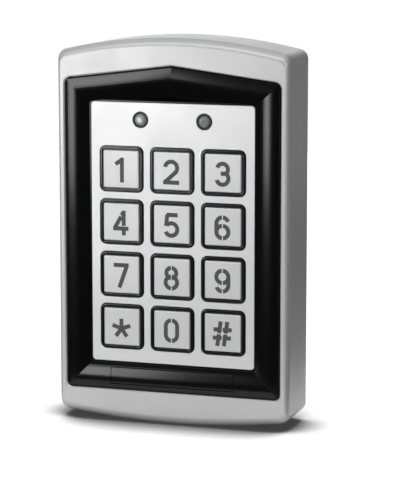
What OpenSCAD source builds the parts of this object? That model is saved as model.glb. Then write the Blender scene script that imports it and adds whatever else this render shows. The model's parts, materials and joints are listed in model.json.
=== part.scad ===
// Keypad access reader: a wall-hung die-cast housing round a twelve-key pad and a card coil.
// The wall is the plane y = 0, the front faces -Y, and +Z is up. Millimetres.
// Heights above the wall are positive numbers, so a height h lies at y = -h.

/* [Keypad] */
// Side of a square key cap
key_size = 11.7; // [10:0.1:13]
// Width of the ring between a cap and the edge of its window
ring_w = 1.35; // [1.1:0.05:2]
// Bar of faceplate between two windows
bar_w = 2.1; // [1.5:0.1:4]
// Corner radius of a window
window_r = 2; // [1:0.1:3]
// How far the caps stand out of the faceplate
key_proud = 0.7; // [0.3:0.1:1.5]
// Thickness of a cap
cap_t = 2; // [1.5:0.1:3]
// Bevel round a cap's front
cap_bevel = 0.45; // [0.2:0.05:0.8]
// Corner radius of a cap
cap_r = 0.4; // [0.35:0.05:1]
// Travel of a key
key_travel = 1; // [0.5:0.1:1.2]

/* [Faceplate] */
// Margin of the faceplate beside the keys
plate_side = 2.75; // [1.5:0.05:8]
// Margin of the faceplate above the keys, where the lamps are
plate_top = 13.55; // [10:0.05:25]
// Margin of the faceplate below the keys
plate_bottom = 3.95; // [2:0.05:12]
// Thickness of the faceplate
plate_t = 1.2; // [0.8:0.1:2]
// Corner radius of the faceplate
plate_r = 1.1; // [0.5:0.1:3]

/* [Lamps] */
// Distance between the two lamps
lamp_gap = 20.6; // [14:0.1:30]
// Distance of the lamps below the top edge of the faceplate
lamp_drop = 5.3; // [4:0.1:8]
// Radius of a lamp's dome
lamp_r = 1.95; // [1.2:0.05:2.2]
// Outer radius of a lamp's holder
holder_r = 2.5; // [2.45:0.05:3]

/* [Bezel] */
// Width of the moulding beside the faceplate
mould_side = 8.5; // [6:0.1:14]
// Width of the moulding below the faceplate
mould_bottom = 9; // [6:0.1:16]
// Width of the moulding above the faceplate's corners
mould_top = 7.2; // [6:0.1:16]
// Rise of the gable above the shoulders of the opening
gable_rise = 4.4; // [1:0.1:10]
// Radius of the moulding's cushioned face
cushion_r = 15; // [12:0.5:40]
// How far the crest of the moulding lies inside its outer edge
crest_in = 2.5; // [1:0.1:4]
// Width of the lip round the faceplate
lip_w = 0.65; // [0.4:0.05:1.5]
// Corner radius of the opening
opening_r = 2; // [1:0.1:4]
// Thickness of the bezel's floor and flange
floor_t = 1.8; // [1.4:0.1:2.5]
// Width of the bare name insert
name_w = 40.4; // [20:0.1:50]
// Height of the bare name insert
name_h = 5.4; // [3:0.1:6]

/* [Housing] */
// Height of the housing's front above the wall
housing_d = 21; // [20:0.5:40]
// Margin of the housing beside the opening
margin_side = 2.55; // [2.55:0.05:15]
// Margin of the housing above the gable's apex
margin_top = 8.4; // [8.4:0.1:30]
// Margin of the housing below the opening
margin_bottom = 10.1; // [9.5:0.1:30]
// Rise of the housing's crowned top
top_crown = 4.5; // [1:0.1:8]
// Drop of the housing's crowned bottom
bottom_crown = 3; // [1:0.1:8]
// Thickness of the housing's walls
wall_t = 1.8; // [1.4:0.1:1.9]
// Thickness of the housing's front
front_t = 2.2; // [1.6:0.1:2.8]
// Corner radius of the housing
corner_r = 3; // [2:0.1:5]
// Fillet of the front edge along the sides
side_fillet = 1.4; // [0.5:0.1:1.8]
// Fillet of the front edge along the top and bottom
end_fillet = 2.8; // [1:0.1:4]

/* [Back] */
// Thickness of the wall plate
back_t = 1.5; // [1:0.1:2.5]
// Distance between the wall screws, side to side
wall_screw_x = 50; // [30:0.5:54]
// Distance between the wall screws, top to bottom
wall_screw_z = 84; // [60:0.5:90]
// Radius of the wall screws' holes
wall_screw_r = 2.1; // [1.5:0.1:3]
// Radius of the cable's way through the grommet
cable_r = 4; // [2:0.1:5]

/* [Boards] */
// Thickness of the circuit board
board_t = 1.6; // [1:0.1:2]
// Distance from the mat's sheet down to the board
mat_gap = 2; // [1.8:0.1:2.6]
// Thickness of the mat's sheet
mat_t = 1; // [0.8:0.1:1.4]

/* [Hidden] */
$fn = 64;
// Names of the keys, row by row
key_names = ["1", "2", "3", "4", "5", "6", "7", "8", "9", "star", "0", "hash"];
columns = 3;
rows = 4;

// Clearances
part_gap = 0.25;        // between housed parts and the walls round them
slide_gap = 0.15;       // between a cap and its collar, and a collar and its window
thread_gap = 0.05;      // between a screw's shank and its hole
insert_gap = 0.2;       // round the name insert
seat_gap = 0.15;        // between the faceplate and its lip
cut = 1;                // overrun of a cutting tool
seal_t = 0.6;           // thickness of the seal behind the housing's front
thread_r = 1;           // radius of the screws that hold the bezel and the board

// Keypad grid
window = key_size + 2 * ring_w;
pitch = window + bar_w;
pad_w = (columns - 1) * pitch + window;
pad_h = (rows - 1) * pitch + window;

// Faceplate and opening, measured from the middle of the keys
plate_w = pad_w + 2 * plate_side;
plate_h = pad_h + plate_top + plate_bottom;
opening_w = plate_w + 2 * mould_side;
shoulder_up = pad_h / 2 + plate_top + mould_top;
apex_up = shoulder_up + gable_rise;
opening_down = pad_h / 2 + plate_bottom + mould_bottom;

// Housing: its middle is the origin, so the keys lie at keys_z
housing_w = opening_w + 2 * margin_side;
top_up = apex_up + margin_top;
bottom_down = opening_down + margin_bottom;
housing_h = top_up + bottom_down;
keys_z = (bottom_down - top_up) / 2;
plate_z = keys_z + (plate_top - plate_bottom) / 2;
lamp_z = plate_z + plate_h / 2 - lamp_drop;
opening_low = keys_z - opening_down;
opening_apex = keys_z + apex_up;

// Levels above the wall
crest_h = housing_d;
rim_h = crest_h - drop(crest_in);
lip_h = crest_h - drop(mould_side - lip_w - crest_in);
plate_front = lip_h - 0.1;
plate_back = plate_front - plate_t;
bezel_back = plate_back - floor_t;
front_back = housing_d - front_t;
flange_h = front_back - seal_t;
mat_back = bezel_back - mat_t;
board_front = mat_back - mat_gap;
board_back = board_front - board_t;
key_front = plate_front + key_proud;
cap_back = key_front - cap_t;
pocket_h = plate_back + 0.5;
lug_h = 6;

// Fall of the cushioned face at a distance from its crest
function drop(x) = cushion_r - sqrt(cushion_r * cushion_r - x * x);
// Radius of an arc over a chord with a given rise
function arc_r(chord, rise) = (chord * chord / 4 + rise * rise) / (2 * rise);

// Puts a flat outline, drawn in X and Z, between two heights above the wall
module layer(high, low) {
    translate([0, -low, 0]) rotate([90, 0, 0]) linear_extrude(high - low) children();
}

// A rectangle with round corners about the middle
module round_rect(w, h, r) {
    square([w - 2 * r, h], center = true);
    square([w, h - 2 * r], center = true);
    for (x = [-1, 1], z = [-1, 1]) translate([x * (w / 2 - r), z * (h / 2 - r)]) circle(r);
}

// Middle of a column, and of a row
function key_x(c) = (c - (columns - 1) / 2) * pitch;
function key_z(r) = keys_z + ((rows - 1) / 2 - r) * pitch;

// ---------------------------------------------------------------- outlines

top_r = arc_r(housing_w, top_crown);
bottom_r = arc_r(housing_w, bottom_crown);
top_cz = housing_h / 2 - top_r;
bottom_cz = bottom_r - housing_h / 2;

// The housing's outline, drawn in by a margin, with round corners
module housing_outline(in = 0, r = corner_r) {
    w = housing_w / 2 - in;
    top_z = top_cz + sqrt(pow(top_r - in - r, 2) - pow(w - r, 2));
    low_z = bottom_cz - sqrt(pow(bottom_r - in - r, 2) - pow(w - r, 2));
    difference() {
        intersection() {
            square([2 * w, 2 * housing_h], center = true);
            translate([0, top_cz]) circle(top_r - in, $fn = 360);
            translate([0, bottom_cz]) circle(bottom_r - in, $fn = 360);
        }
        for (s = [-1, 1]) {
            corner_cut(s * (w - r), top_z, s, 1, r, top_cz);
            corner_cut(s * (w - r), low_z, s, -1, r, bottom_cz);
        }
    }
    for (s = [-1, 1]) {
        translate([s * (w - r), top_z]) circle(r);
        translate([s * (w - r), low_z]) circle(r);
    }
}

// What a corner loses outside the two lines where its round meets the side and the arc
module corner_cut(x, z, sx, sz, r, arc_cz) {
    a = atan2(abs(z - arc_cz), abs(x));
    far = 4 * r;
    polygon([[x, z], [x + sx * r, z], [x + sx * far, z],
        [x + sx * far, z + sz * far], [x + sx * far * cos(a), z + sz * far * sin(a)]]);
}

// The gabled outline of the opening, drawn in by a margin
module gable_outline(in = 0, r = opening_r) {
    slope = atan2(gable_rise, opening_w / 2);
    w = opening_w / 2 - in;
    low = opening_low + in;
    apex = opening_apex - in / cos(slope);
    shoulder = apex - w * tan(slope);
    half = (90 + slope) / 2;
    reach = r / tan(half);
    difference() {
        polygon([[-w, low], [w, low], [w, shoulder], [0, apex], [-w, shoulder]]);
        for (s = [-1, 1]) {
            polygon([[s * w, low], [s * (w - r), low], [s * w, low + r]]);
            polygon([[s * w, shoulder], [s * w, shoulder - reach],
                [s * (w - reach * cos(slope)), shoulder + reach * sin(slope)]]);
        }
    }
    for (s = [-1, 1]) {
        translate([s * (w - r), low + r]) circle(r);
        translate([s * (w - r), shoulder - reach]) circle(r);
    }
}

// ---------------------------------------------------------------- housing

// Fasteners between the bezel and the housing: [x, z]
boss_r = 2.3;
boss_bore = thread_r + thread_gap;
boss_x = housing_w / 2 - 9.5;
boss_places = [for (s = [-1, 1]) each [
    [s * boss_x, (gable_z(boss_x) + arc_z(boss_x)) / 2],
    [s * boss_x, (opening_low + low_arc_z(boss_x)) / 2]]];
// The opening's upper edge, and the cavity's upper and lower walls, at a distance from the middle
function gable_z(x) = opening_apex - x * gable_rise / (opening_w / 2);
function arc_z(x) = top_cz + sqrt(pow(top_r - wall_t, 2) - x * x);
function low_arc_z(x) = bottom_cz - sqrt(pow(bottom_r - wall_t, 2) - x * x);

// Hooks at the top of the wall plate: the ledges behind them belong to the housing
hook_x = housing_w / 2 - 19;
hook_w = 8;
hook_z = arc_z(hook_x + hook_w / 2) - 1.5;
hook_t = 1.2;
ledge_low = back_t + 0.5;
ledge_t = 1.8;
// Security screw through the bottom wall into the wall plate's lug
screw_boss_r = 4.5;
screw_wall = 4;
screw_head_r = 2.7;
screw_head_t = 1.6;
lug_z = screw_wall - housing_h / 2 + 0.3;
lug_t = 1.8;

// The housing's solid form: outline, side fillets, and fillets along the crowned ends
module housing_form() {
    w = housing_w / 2;
    d = housing_d;
    intersection() {
        layer(d, 0) housing_outline();
        translate([0, 0, -housing_h]) linear_extrude(2 * housing_h) {
            translate([-w, -(d - side_fillet)]) square([2 * w, d - side_fillet]);
            translate([-(w - side_fillet), -d]) square([2 * (w - side_fillet), d]);
            for (s = [-1, 1]) translate([s * (w - side_fillet), -(d - side_fillet)]) circle(side_fillet);
        }
        end_disc(top_cz, top_r);
        end_disc(bottom_cz, bottom_r);
    }
}

// A disc about a crown's centre, with a filleted front edge
module end_disc(cz, r) {
    translate([0, 0, cz]) rotate([90, 0, 0]) rotate_extrude($fn = 360) {
        square([r, housing_d - end_fillet]);
        square([r - end_fillet, housing_d]);
        intersection() {
            translate([r - end_fillet, housing_d - end_fillet]) circle(end_fillet);
            square([r + cut, housing_d]);
        }
    }
}

module housing() {
    color("silver") difference() {
        union() {
            difference() {
                housing_form();
                layer(front_back, -cut) housing_outline(wall_t, corner_r - wall_t);
                layer(housing_d + cut, front_back - cut) gable_outline();
            }
            intersection() {
                union() {
                    for (p = boss_places) layer(housing_d - 0.5, bezel_back + 0.3) translate(p) circle(boss_r);
                    for (s = [-1, 1]) translate([s * hook_x - hook_w / 2, -(ledge_low + ledge_t), hook_z])
                        cube([hook_w, ledge_t, 4]);
                    translate([0, -lug_h, -housing_h / 2]) cylinder(h = screw_wall, r = screw_boss_r);
                }
                housing_form();
            }
        }
        for (p = boss_places) layer(housing_d - 0.8, bezel_back - cut) translate(p) circle(boss_bore);
        translate([0, -lug_h, -housing_h / 2 - cut]) cylinder(h = screw_wall + 2 * cut, r = 1.7);
        translate([0, -lug_h, -housing_h / 2 - cut]) cylinder(h = 2 + cut, r = screw_head_r + part_gap);
    }
}

module bezel_seal() {
    color("dimgray") layer(front_back, flange_h) difference() {
        housing_outline(wall_t + part_gap, corner_r - wall_t);
        gable_outline();
        for (p = boss_places) translate(p) circle(boss_r + part_gap);
    }
}

// ---------------------------------------------------------------- bezel

edge_w = opening_w / 2 - part_gap;
edge_low = opening_low + part_gap;
slope = atan2(gable_rise, opening_w / 2);
edge_apex = opening_apex - part_gap / cos(slope);
edge_shoulder = edge_apex - edge_w * tan(slope);
mould_reach = max(mould_side, mould_bottom, mould_top) + 1;

// Section of the moulding: x runs inwards from its outer edge, and y down to minus the height
module cushion_section() {
    bevel = 0.4;
    steep = (crest_h - rim_h + bevel) / bevel;
    base = bezel_back + floor_t / 3;
    intersection() {
        translate([crest_in, cushion_r - crest_h]) circle(cushion_r, $fn = 360);
        polygon([[-cut, -base], [-cut, bevel - rim_h + cut * steep], [bevel, -crest_h],
            [crest_in, -crest_h - cut], [crest_in + cushion_r, -crest_h - cut], [crest_in + cushion_r, -base]]);
    }
}

// A point on the line through a corner at an angle
function ray(corner, angle, reach) = corner + reach * [cos(angle), sin(angle)];

// One straight run of the moulding between two corners of its outer edge, turned about Y.
// It ends on the lines through the corners at the two angles.
module moulding_run(from, to, turn, from_angle, to_angle) {
    reach = mould_reach * sqrt(2);
    intersection() {
        translate([from[0], 0, from[1]]) rotate([0, turn, 0])
            translate([0, 0, -cut]) linear_extrude(norm(to - from) + 2 * cut) cushion_section();
        layer(crest_h + cut, bezel_back) polygon([ray(from, from_angle, -2 * cut), ray(from, from_angle, reach),
            ray(to, to_angle, reach), ray(to, to_angle, -2 * cut)]);
    }
}

// The five runs. Neighbours cross on the bisector of their corner, so each one ends a little
// past it, under the other's face. At the apex they are mirror images and meet in the middle.
module moulding() {
    past = 4;
    low = [-edge_w, edge_low];
    top = [-edge_w, edge_shoulder];
    apex = [0, edge_apex];
    top_mitre = (90 - slope) / 2;
    moulding_run([edge_w, edge_low], low, -90, 135 - past, 45 + past);
    for (side = [0, 1]) mirror([side, 0, 0]) {
        moulding_run(low, top, 0, 45 - past, past - top_mitre);
        moulding_run(top, apex, 90 - slope, -top_mitre - past, -90);
    }
}

// Board bosses behind the faceplate's corners, and the coil's channel
board_x = plate_w / 2 - 2.5;
board_places = [for (x = [-1, 1], z = [-1, 1]) [x * board_x, plate_z + z * (plate_h / 2 + 1.1)]];
board_boss_r = 2.4;
coil_w = 2.4;
coil_t = 1.3;
coil_x = plate_w / 2 + lip_w + 1;
coil_z = plate_h / 2 + 4.1;
channel_h = bezel_back + coil_t + 0.1;

// A rectangular ring about the faceplate's middle
module coil_ring(grow) {
    difference() {
        translate([0, plate_z]) round_rect(2 * (coil_x + coil_w + grow), 2 * (coil_z + coil_w + grow), 3);
        translate([0, plate_z]) round_rect(2 * (coil_x - grow), 2 * (coil_z - grow), 1);
    }
}

// The name insert's place in the bottom moulding
module name_outline(in) {
    low = plate_z - plate_h / 2 - 1.8 - name_h;
    translate([-(name_w / 2 - in), low + in]) square([name_w - 2 * in, name_h - 2 * in]);
}

module bezel() {
    color([0.06, 0.06, 0.065]) {
        difference() {
            union() {
                intersection() {
                    moulding();
                    layer(crest_h + cut, bezel_back) gable_outline(part_gap);
                }
                layer(flange_h, bezel_back) housing_outline(wall_t + part_gap, corner_r - wall_t);
                translate([0, 0, plate_z]) layer(lip_h, bezel_back)
                    round_rect(plate_w + 2 * lip_w, plate_h + 2 * lip_w, plate_r + lip_w);
                for (p = board_places) layer(bezel_back + cut, board_front) translate(p) circle(board_boss_r);
            }
            translate([0, 0, plate_z]) layer(crest_h + cut, plate_back)
                round_rect(plate_w + 2 * seat_gap, plate_h + 2 * seat_gap, plate_r);
            for (r = [0 : rows - 1], c = [0 : columns - 1])
                layer(crest_h, bezel_back - cut) translate([key_x(c), key_z(r)])
                    round_rect(window, window, window_r);
            for (s = [-1, 1]) layer(crest_h, bezel_back - cut)
                translate([s * lamp_gap / 2, lamp_z]) circle(holder_r + 0.1);
            layer(channel_h, bezel_back - cut) coil_ring(0.2);
            layer(crest_h + cut, pocket_h) name_outline(0);
            for (p = boss_places) layer(crest_h + cut, bezel_back - cut) translate(p) circle(boss_r + part_gap);
            for (p = board_places) layer(board_front + board_bite + 0.2, board_front - cut) translate(p)
                circle(thread_r + thread_gap);
        }
    }
}

module name_insert() {
    color([0.1, 0.1, 0.105]) intersection() {
        moulding();
        layer(crest_h + cut, pocket_h) name_outline(insert_gap);
    }
}

// ---------------------------------------------------------------- faceplate, lamps and keys

module faceplate() {
    color("gainsboro") difference() {
        translate([0, 0, plate_z]) layer(plate_front, plate_back) round_rect(plate_w, plate_h, plate_r);
        for (r = [0 : rows - 1], c = [0 : columns - 1])
            layer(crest_h, plate_back - cut) translate([key_x(c), key_z(r)])
                round_rect(window, window, window_r);
        for (s = [-1, 1]) layer(crest_h, plate_back - cut)
            translate([s * lamp_gap / 2, lamp_z]) circle(holder_r + 0.1);
    }
}

// Two black rings that hold the lamps, with a foot behind the bezel's floor
module led_holders() {
    top = plate_front + 0.35;
    foot = bezel_back - 0.8;
    color([0.12, 0.12, 0.12]) for (s = [-1, 1]) translate([s * lamp_gap / 2, 0, lamp_z]) rotate([90, 0, 0])
        rotate_extrude() polygon([[lamp_r + 0.05, foot], [holder_r + 0.8, foot], [holder_r + 0.8, bezel_back],
            [holder_r, bezel_back], [holder_r, top - 0.2], [holder_r - 0.2, top],
            [lamp_r + 0.2, top], [lamp_r + 0.05, top - 0.2]]);
}

// A lamp: domed body, flange and two legs through the board
leg_x = 1.27;
leg_r = 0.25;
module lamp(side) {
    tip = plate_front + 0.75;
    base = board_front + 1;
    color([0.75, 0.77, 0.75]) translate([side * lamp_gap / 2, 0, lamp_z]) rotate([90, 0, 0]) {
        rotate_extrude() {
            translate([0, base]) square([lamp_r + 0.4, 0.8]);
            translate([0, base]) square([lamp_r, tip - lamp_r - base]);
            intersection() {
                translate([0, tip - lamp_r]) circle(lamp_r);
                translate([0, base]) square([lamp_r + cut, tip - base]);
            }
        }
        for (s = [-1, 1]) translate([s * leg_x, 0, board_back - 1]) cylinder(h = base - board_back + 1.2, r = leg_r);
    }
}

module led_left() {
    lamp(-1);
}

module led_right() {
    lamp(1);
}

// A metal cap with a bevelled front, and the stem that presses its dome
stem_r = 3;
dome_top = bezel_back + 0.6;
module key(c, r) {
    half = key_size / 2;
    color("lightgray") {
        intersection() {
            layer(key_front, cap_back) translate([key_x(c), key_z(r)]) round_rect(key_size, key_size, cap_r);
            translate([key_x(c), 0, key_z(r) - half]) linear_extrude(key_size) bevel_section();
            translate([key_x(c) - half, 0, key_z(r)]) rotate([0, 90, 0]) linear_extrude(key_size) bevel_section();
        }
        layer(cap_back, dome_top) translate([key_x(c), key_z(r)]) circle(stem_r);
    }
}

// Section of a cap: its width along x, and y down to minus the height
module bevel_section() {
    half = key_size / 2;
    polygon([[-half, -cap_back], [half, -cap_back], [half, cap_bevel - key_front],
        [half - cap_bevel, -key_front], [cap_bevel - half, -key_front], [-half, cap_bevel - key_front]]);
}

// The silicone sheet behind the bezel's floor, with a beaded collar round each key
bead_r = 0.5;
mat_w = pad_w + 3;
mat_h = pad_h + 3;
mat_rib = 1.2;
dome_r = 5.4;
module keypad_mat() {
    color([0.09, 0.09, 0.09]) difference() {
        union() {
            translate([0, 0, keys_z]) layer(bezel_back, mat_back) square([mat_w, mat_h], center = true);
            translate([0, 0, keys_z]) layer(mat_back, board_front) difference() {
                square([mat_w, mat_h], center = true);
                square([mat_w - 2 * mat_rib, mat_h - 2 * mat_rib], center = true);
            }
            for (r = [0 : rows - 1], c = [0 : columns - 1]) translate([key_x(c), 0, key_z(r)]) collar();
        }
        for (r = [0 : rows - 1], c = [0 : columns - 1])
            layer(bezel_back + cut, mat_back - cut) translate([key_x(c), key_z(r)]) circle(dome_r + 0.1);
    }
}

// One collar: a square sleeve that ends in a round bead
module collar() {
    outer = window - 2 * slide_gap;
    inner = key_size + 2 * slide_gap;
    outer_r = window_r - slide_gap;
    bead_h = plate_front - 0.15;
    side = (outer + inner) / 4;
    bend = outer_r - (outer - inner) / 4;
    layer(bead_h, bezel_back) difference() {
        round_rect(outer, outer, outer_r);
        square(inner, center = true);
    }
    for (turn = [0 : 90 : 270]) rotate([0, turn, 0]) {
        translate([bend - side, -bead_h, side]) rotate([0, 90, 0]) cylinder(h = 2 * (side - bend), r = bead_r);
        translate([side - bend, -bead_h, side - bend]) rotate([90, 0, 0]) rotate_extrude(angle = 90)
            translate([bend, 0]) circle(bead_r);
    }
}

// A silicone dome: foot on the board, sloping web, pad under the stem, and carbon pill
pad_thickness = 1;
pill_r = 2;
contact_t = 0.1;
contact_r = 2.6;
module dome(c, r) {
    foot = board_front;
    web = mat_back - 0.4;
    pad_low = dome_top - pad_thickness;
    pad_r = stem_r + 0.2;
    pill = board_front + contact_t + key_travel + 0.1;
    color([0.16, 0.16, 0.17]) translate([key_x(c), 0, key_z(r)]) rotate([90, 0, 0]) rotate_extrude()
        polygon([[dome_r, foot], [dome_r, web], [pad_r, pad_low + 0.5], [pad_r, dome_top], [0, dome_top],
            [0, pill], [pill_r, pill], [pill_r, pad_low], [pad_r - 0.2, pad_low],
            [dome_r - 0.5, web - 0.4], [dome_r - 0.5, foot]]);
}

module contact_pads() {
    color("gold") for (r = [0 : rows - 1], c = [0 : columns - 1])
        layer(board_front + contact_t, board_front) translate([key_x(c), key_z(r)]) difference() {
            circle(contact_r);
            square([0.4, 2 * contact_r + cut], center = true);
        }
}

// ---------------------------------------------------------------- boards

board_w = 2 * board_x + 14;
board_l = plate_h + 12;
module main_board() {
    color("darkgreen") difference() {
        translate([0, 0, plate_z]) layer(board_front, board_back) round_rect(board_w, board_l, 2);
        for (p = board_places) layer(board_front + cut, board_back - cut) translate(p) circle(thread_r + 0.3);
        for (s = [-1, 1], l = [-1, 1]) layer(board_front + cut, board_back - cut)
            translate([s * lamp_gap / 2 + l * leg_x, lamp_z]) circle(0.4);
    }
}

module antenna_coil() {
    color("peru") layer(bezel_back + coil_t, bezel_back) coil_ring(0);
}

// A part soldered to the board's back: its height is measured from the board
module on_back(x, z, h) {
    translate([x, -board_back, z]) rotate([-90, 0, 0]) linear_extrude(h) children();
}

// The tallest parts end short of the wall plate, and the side parts stand in from the board's edges
plate_room = 1.8;
side_in = 12.95;
side_x = board_w / 2 - side_in;
relay_h = board_back - back_t - plate_room;
relay_w = 10;
relay_l = 19;
terminal_h = relay_h - 0.5;
can_h = relay_h - 2.2;
can_r = 3.15;
can_gap = 2.7;
can_base = 0.8;
buzzer_r = 6;
buzzer_h = 5;
buzzer_port = 1;
chip_w = 12;
chip_t = 1.3;
chip_lift = 0.1;
pin_pitch = 1;
pin_w = 0.4;
pin_l = 1.2;
pin_t = 0.6;
module controller_chip() {
    pins = floor(chip_w / pin_pitch) - 1;
    color([0.08, 0.08, 0.08]) translate([0, 0, keys_z + pitch * 0.8]) {
        translate([0, chip_lift, 0]) on_back(0, 0, chip_t) square(chip_w, center = true);
        for (turn = [0 : 90 : 270]) rotate([0, turn, 0]) for (i = [0 : pins - 1])
            on_back((i - (pins - 1) / 2) * pin_pitch, chip_w / 2 + 0.4 * pin_l, pin_t)
                square([pin_w, pin_l], center = true);
    }
}

module buzzer() {
    z = keys_z + pitch * 1.5;
    color([0.1, 0.1, 0.1]) difference() {
        on_back(-side_x, z, buzzer_h) circle(buzzer_r);
        translate([0, buzzer_h / 3, 0]) on_back(-side_x, z, buzzer_h) circle(buzzer_port);
    }
}

module relay() {
    color("royalblue") on_back(side_x, keys_z + pitch, relay_h) square([relay_w, relay_l], center = true);
}

// Screw terminals for the cable's cores
ways = 8;
way_pitch = 3.5;
way_r = 1.1;
way_up = 3.5;
terminal_d = 8;
terminal_screw_r = 1.2;
terminal_z = keys_z - pitch * 1.9;
module terminal_block() {
    width = ways * way_pitch + 1;
    color("seagreen") difference() {
        on_back(0, terminal_z, terminal_h) square([width, terminal_d], center = true);
        for (i = [0 : ways - 1]) {
            x = (i - (ways - 1) / 2) * way_pitch;
            translate([0, terminal_h - terminal_screw_r, 0]) on_back(x, terminal_z, 2 * terminal_screw_r)
                circle(terminal_screw_r);
            translate([x, way_up - board_back, terminal_z]) cylinder(h = terminal_d, r = way_r);
        }
    }
}

module capacitors() {
    color("slategray") for (i = [0, 1]) {
        z = keys_z - (2 * can_r + can_gap) * i;
        on_back(-side_x, z, can_h) circle(can_r);
        on_back(-side_x, z, can_base) square(2 * can_r, center = true);
    }
}

// Light cell on two legs that looks through the wall plate, so that lifting the reader trips it
cell_r = 2.6;
cell_z = keys_z - pitch * 0.4;
module tamper_sensor() {
    low = back_t + 1.5;
    color("khaki") translate([side_x, 0, cell_z]) {
        layer(low + 2, low) circle(cell_r);
        for (s = [-1, 1]) layer(board_back, low + 1) translate([s * 1.5, 0]) circle(leg_r);
    }
}

// ---------------------------------------------------------------- wall side

cable_z = keys_z - pitch * 0.6;
grommet_r = cable_r + 3;
module back_plate() {
    plate_top_z = hook_z - 0.3;
    color("lightsteelblue") difference() {
        union() {
            layer(back_t, 0) housing_outline(wall_t + part_gap, corner_r - wall_t);
            for (s = [-1, 1]) translate([s * hook_x - hook_w / 2, 0, plate_top_z - hook_t]) {
                translate([0, -(ledge_low + ledge_t + 0.3 + hook_t), 0])
                    cube([hook_w, ledge_low + ledge_t + 0.3 + hook_t - back_t / 2, hook_t]);
                translate([0, -(ledge_low + ledge_t + 0.3 + hook_t), 0]) cube([hook_w, hook_t, hook_t + 1.4]);
            }
            translate([-6, -(lug_h + 3.5), lug_z]) cube([12, lug_h + 3.5 - back_t / 2, lug_t]);
        }
        for (x = [-1, 1], z = [-1, 1]) layer(back_t + cut, -cut)
            translate([x * wall_screw_x / 2, z * wall_screw_z / 2]) circle(wall_screw_r);
        layer(back_t + cut, -cut) translate([0, cable_z]) circle(grommet_r);
        layer(back_t + cut, -cut) translate([side_x, cell_z]) circle(cell_r + 0.4);
        translate([0, -lug_h, lug_z - cut]) cylinder(h = lug_t + 2 * cut, r = 1.45);
    }
}

module cable_grommet() {
    flange = 2;
    color([0.1, 0.1, 0.1]) translate([0, 0, cable_z]) rotate([90, 0, 0]) rotate_extrude()
        polygon([[cable_r, 0], [grommet_r - thread_gap, 0], [grommet_r - thread_gap, back_t],
            [grommet_r + 2, back_t], [grommet_r + 2, back_t + flange - 0.6],
            [grommet_r + 1.4, back_t + flange], [cable_r, back_t + flange]]);
}

// A pan-head screw: the shank points up from the head's seat, with a cross recess
module pan_screw(head_r, head_t, shank_r, length) {
    difference() {
        union() {
            translate([0, 0, -head_t]) cylinder(h = head_t, r = head_r);
            cylinder(h = length, r = shank_r);
        }
        for (turn = [0, 90]) rotate([0, 0, turn]) translate([0, 0, -head_t])
            cube([head_r, head_r / 4, 1.4], center = true);
    }
}

board_head_r = 2.3;
board_head_t = 1.4;
bezel_head_r = 3.2;
bezel_head_t = 1.5;
board_bite = 2.4;
bezel_bite = 2.8;
module board_screws() {
    color("silver") for (p = board_places) translate([p[0], -board_back, p[1]]) rotate([90, 0, 0])
        pan_screw(board_head_r, board_head_t, thread_r, board_t + board_bite);
}

module bezel_screws() {
    color("silver") for (p = boss_places) translate([p[0], -bezel_back, p[1]]) rotate([90, 0, 0])
        pan_screw(bezel_head_r, bezel_head_t, thread_r, bezel_bite);
}

// The screw that holds the housing to the wall plate's lug
module security_screw() {
    seat = 2 - housing_h / 2;
    color("silver") translate([0, -lug_h, seat]) difference() {
        union() {
            translate([0, 0, -screw_head_t]) cylinder(h = screw_head_t, r = screw_head_r);
            cylinder(h = lug_z + lug_t - seat, r = 1.4);
        }
        translate([0, 0, -screw_head_t - cut]) cylinder(h = 0.8 + cut, r = 1.2, $fn = 6);
    }
}

// ---------------------------------------------------------------- nodes

housing();
bezel_seal();
bezel();
name_insert();
faceplate();
keypad_mat();
for (i = [0 : len(key_names) - 1]) {
    key(i % columns, floor(i / columns));
    dome(i % columns, floor(i / columns));
}
contact_pads();
led_left();
led_right();
led_holders();
main_board();
antenna_coil();
controller_chip();
buzzer();
relay();
terminal_block();
capacitors();
tamper_sensor();
back_plate();
cable_grommet();
board_screws();
bezel_screws();
security_screw();
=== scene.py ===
"""Studio scene of a wall-hung keypad access reader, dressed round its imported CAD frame.

The frame's origin is the middle of the back, on the wall plane. The front faces -Y and +Z is up.
Lengths are in metres, and MM turns millimetres into metres.
"""

from __future__ import annotations

import json
import logging
import math
from collections.abc import Callable, Iterable, Iterator
from contextlib import contextmanager
from dataclasses import dataclass, field
from enum import Enum

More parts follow.
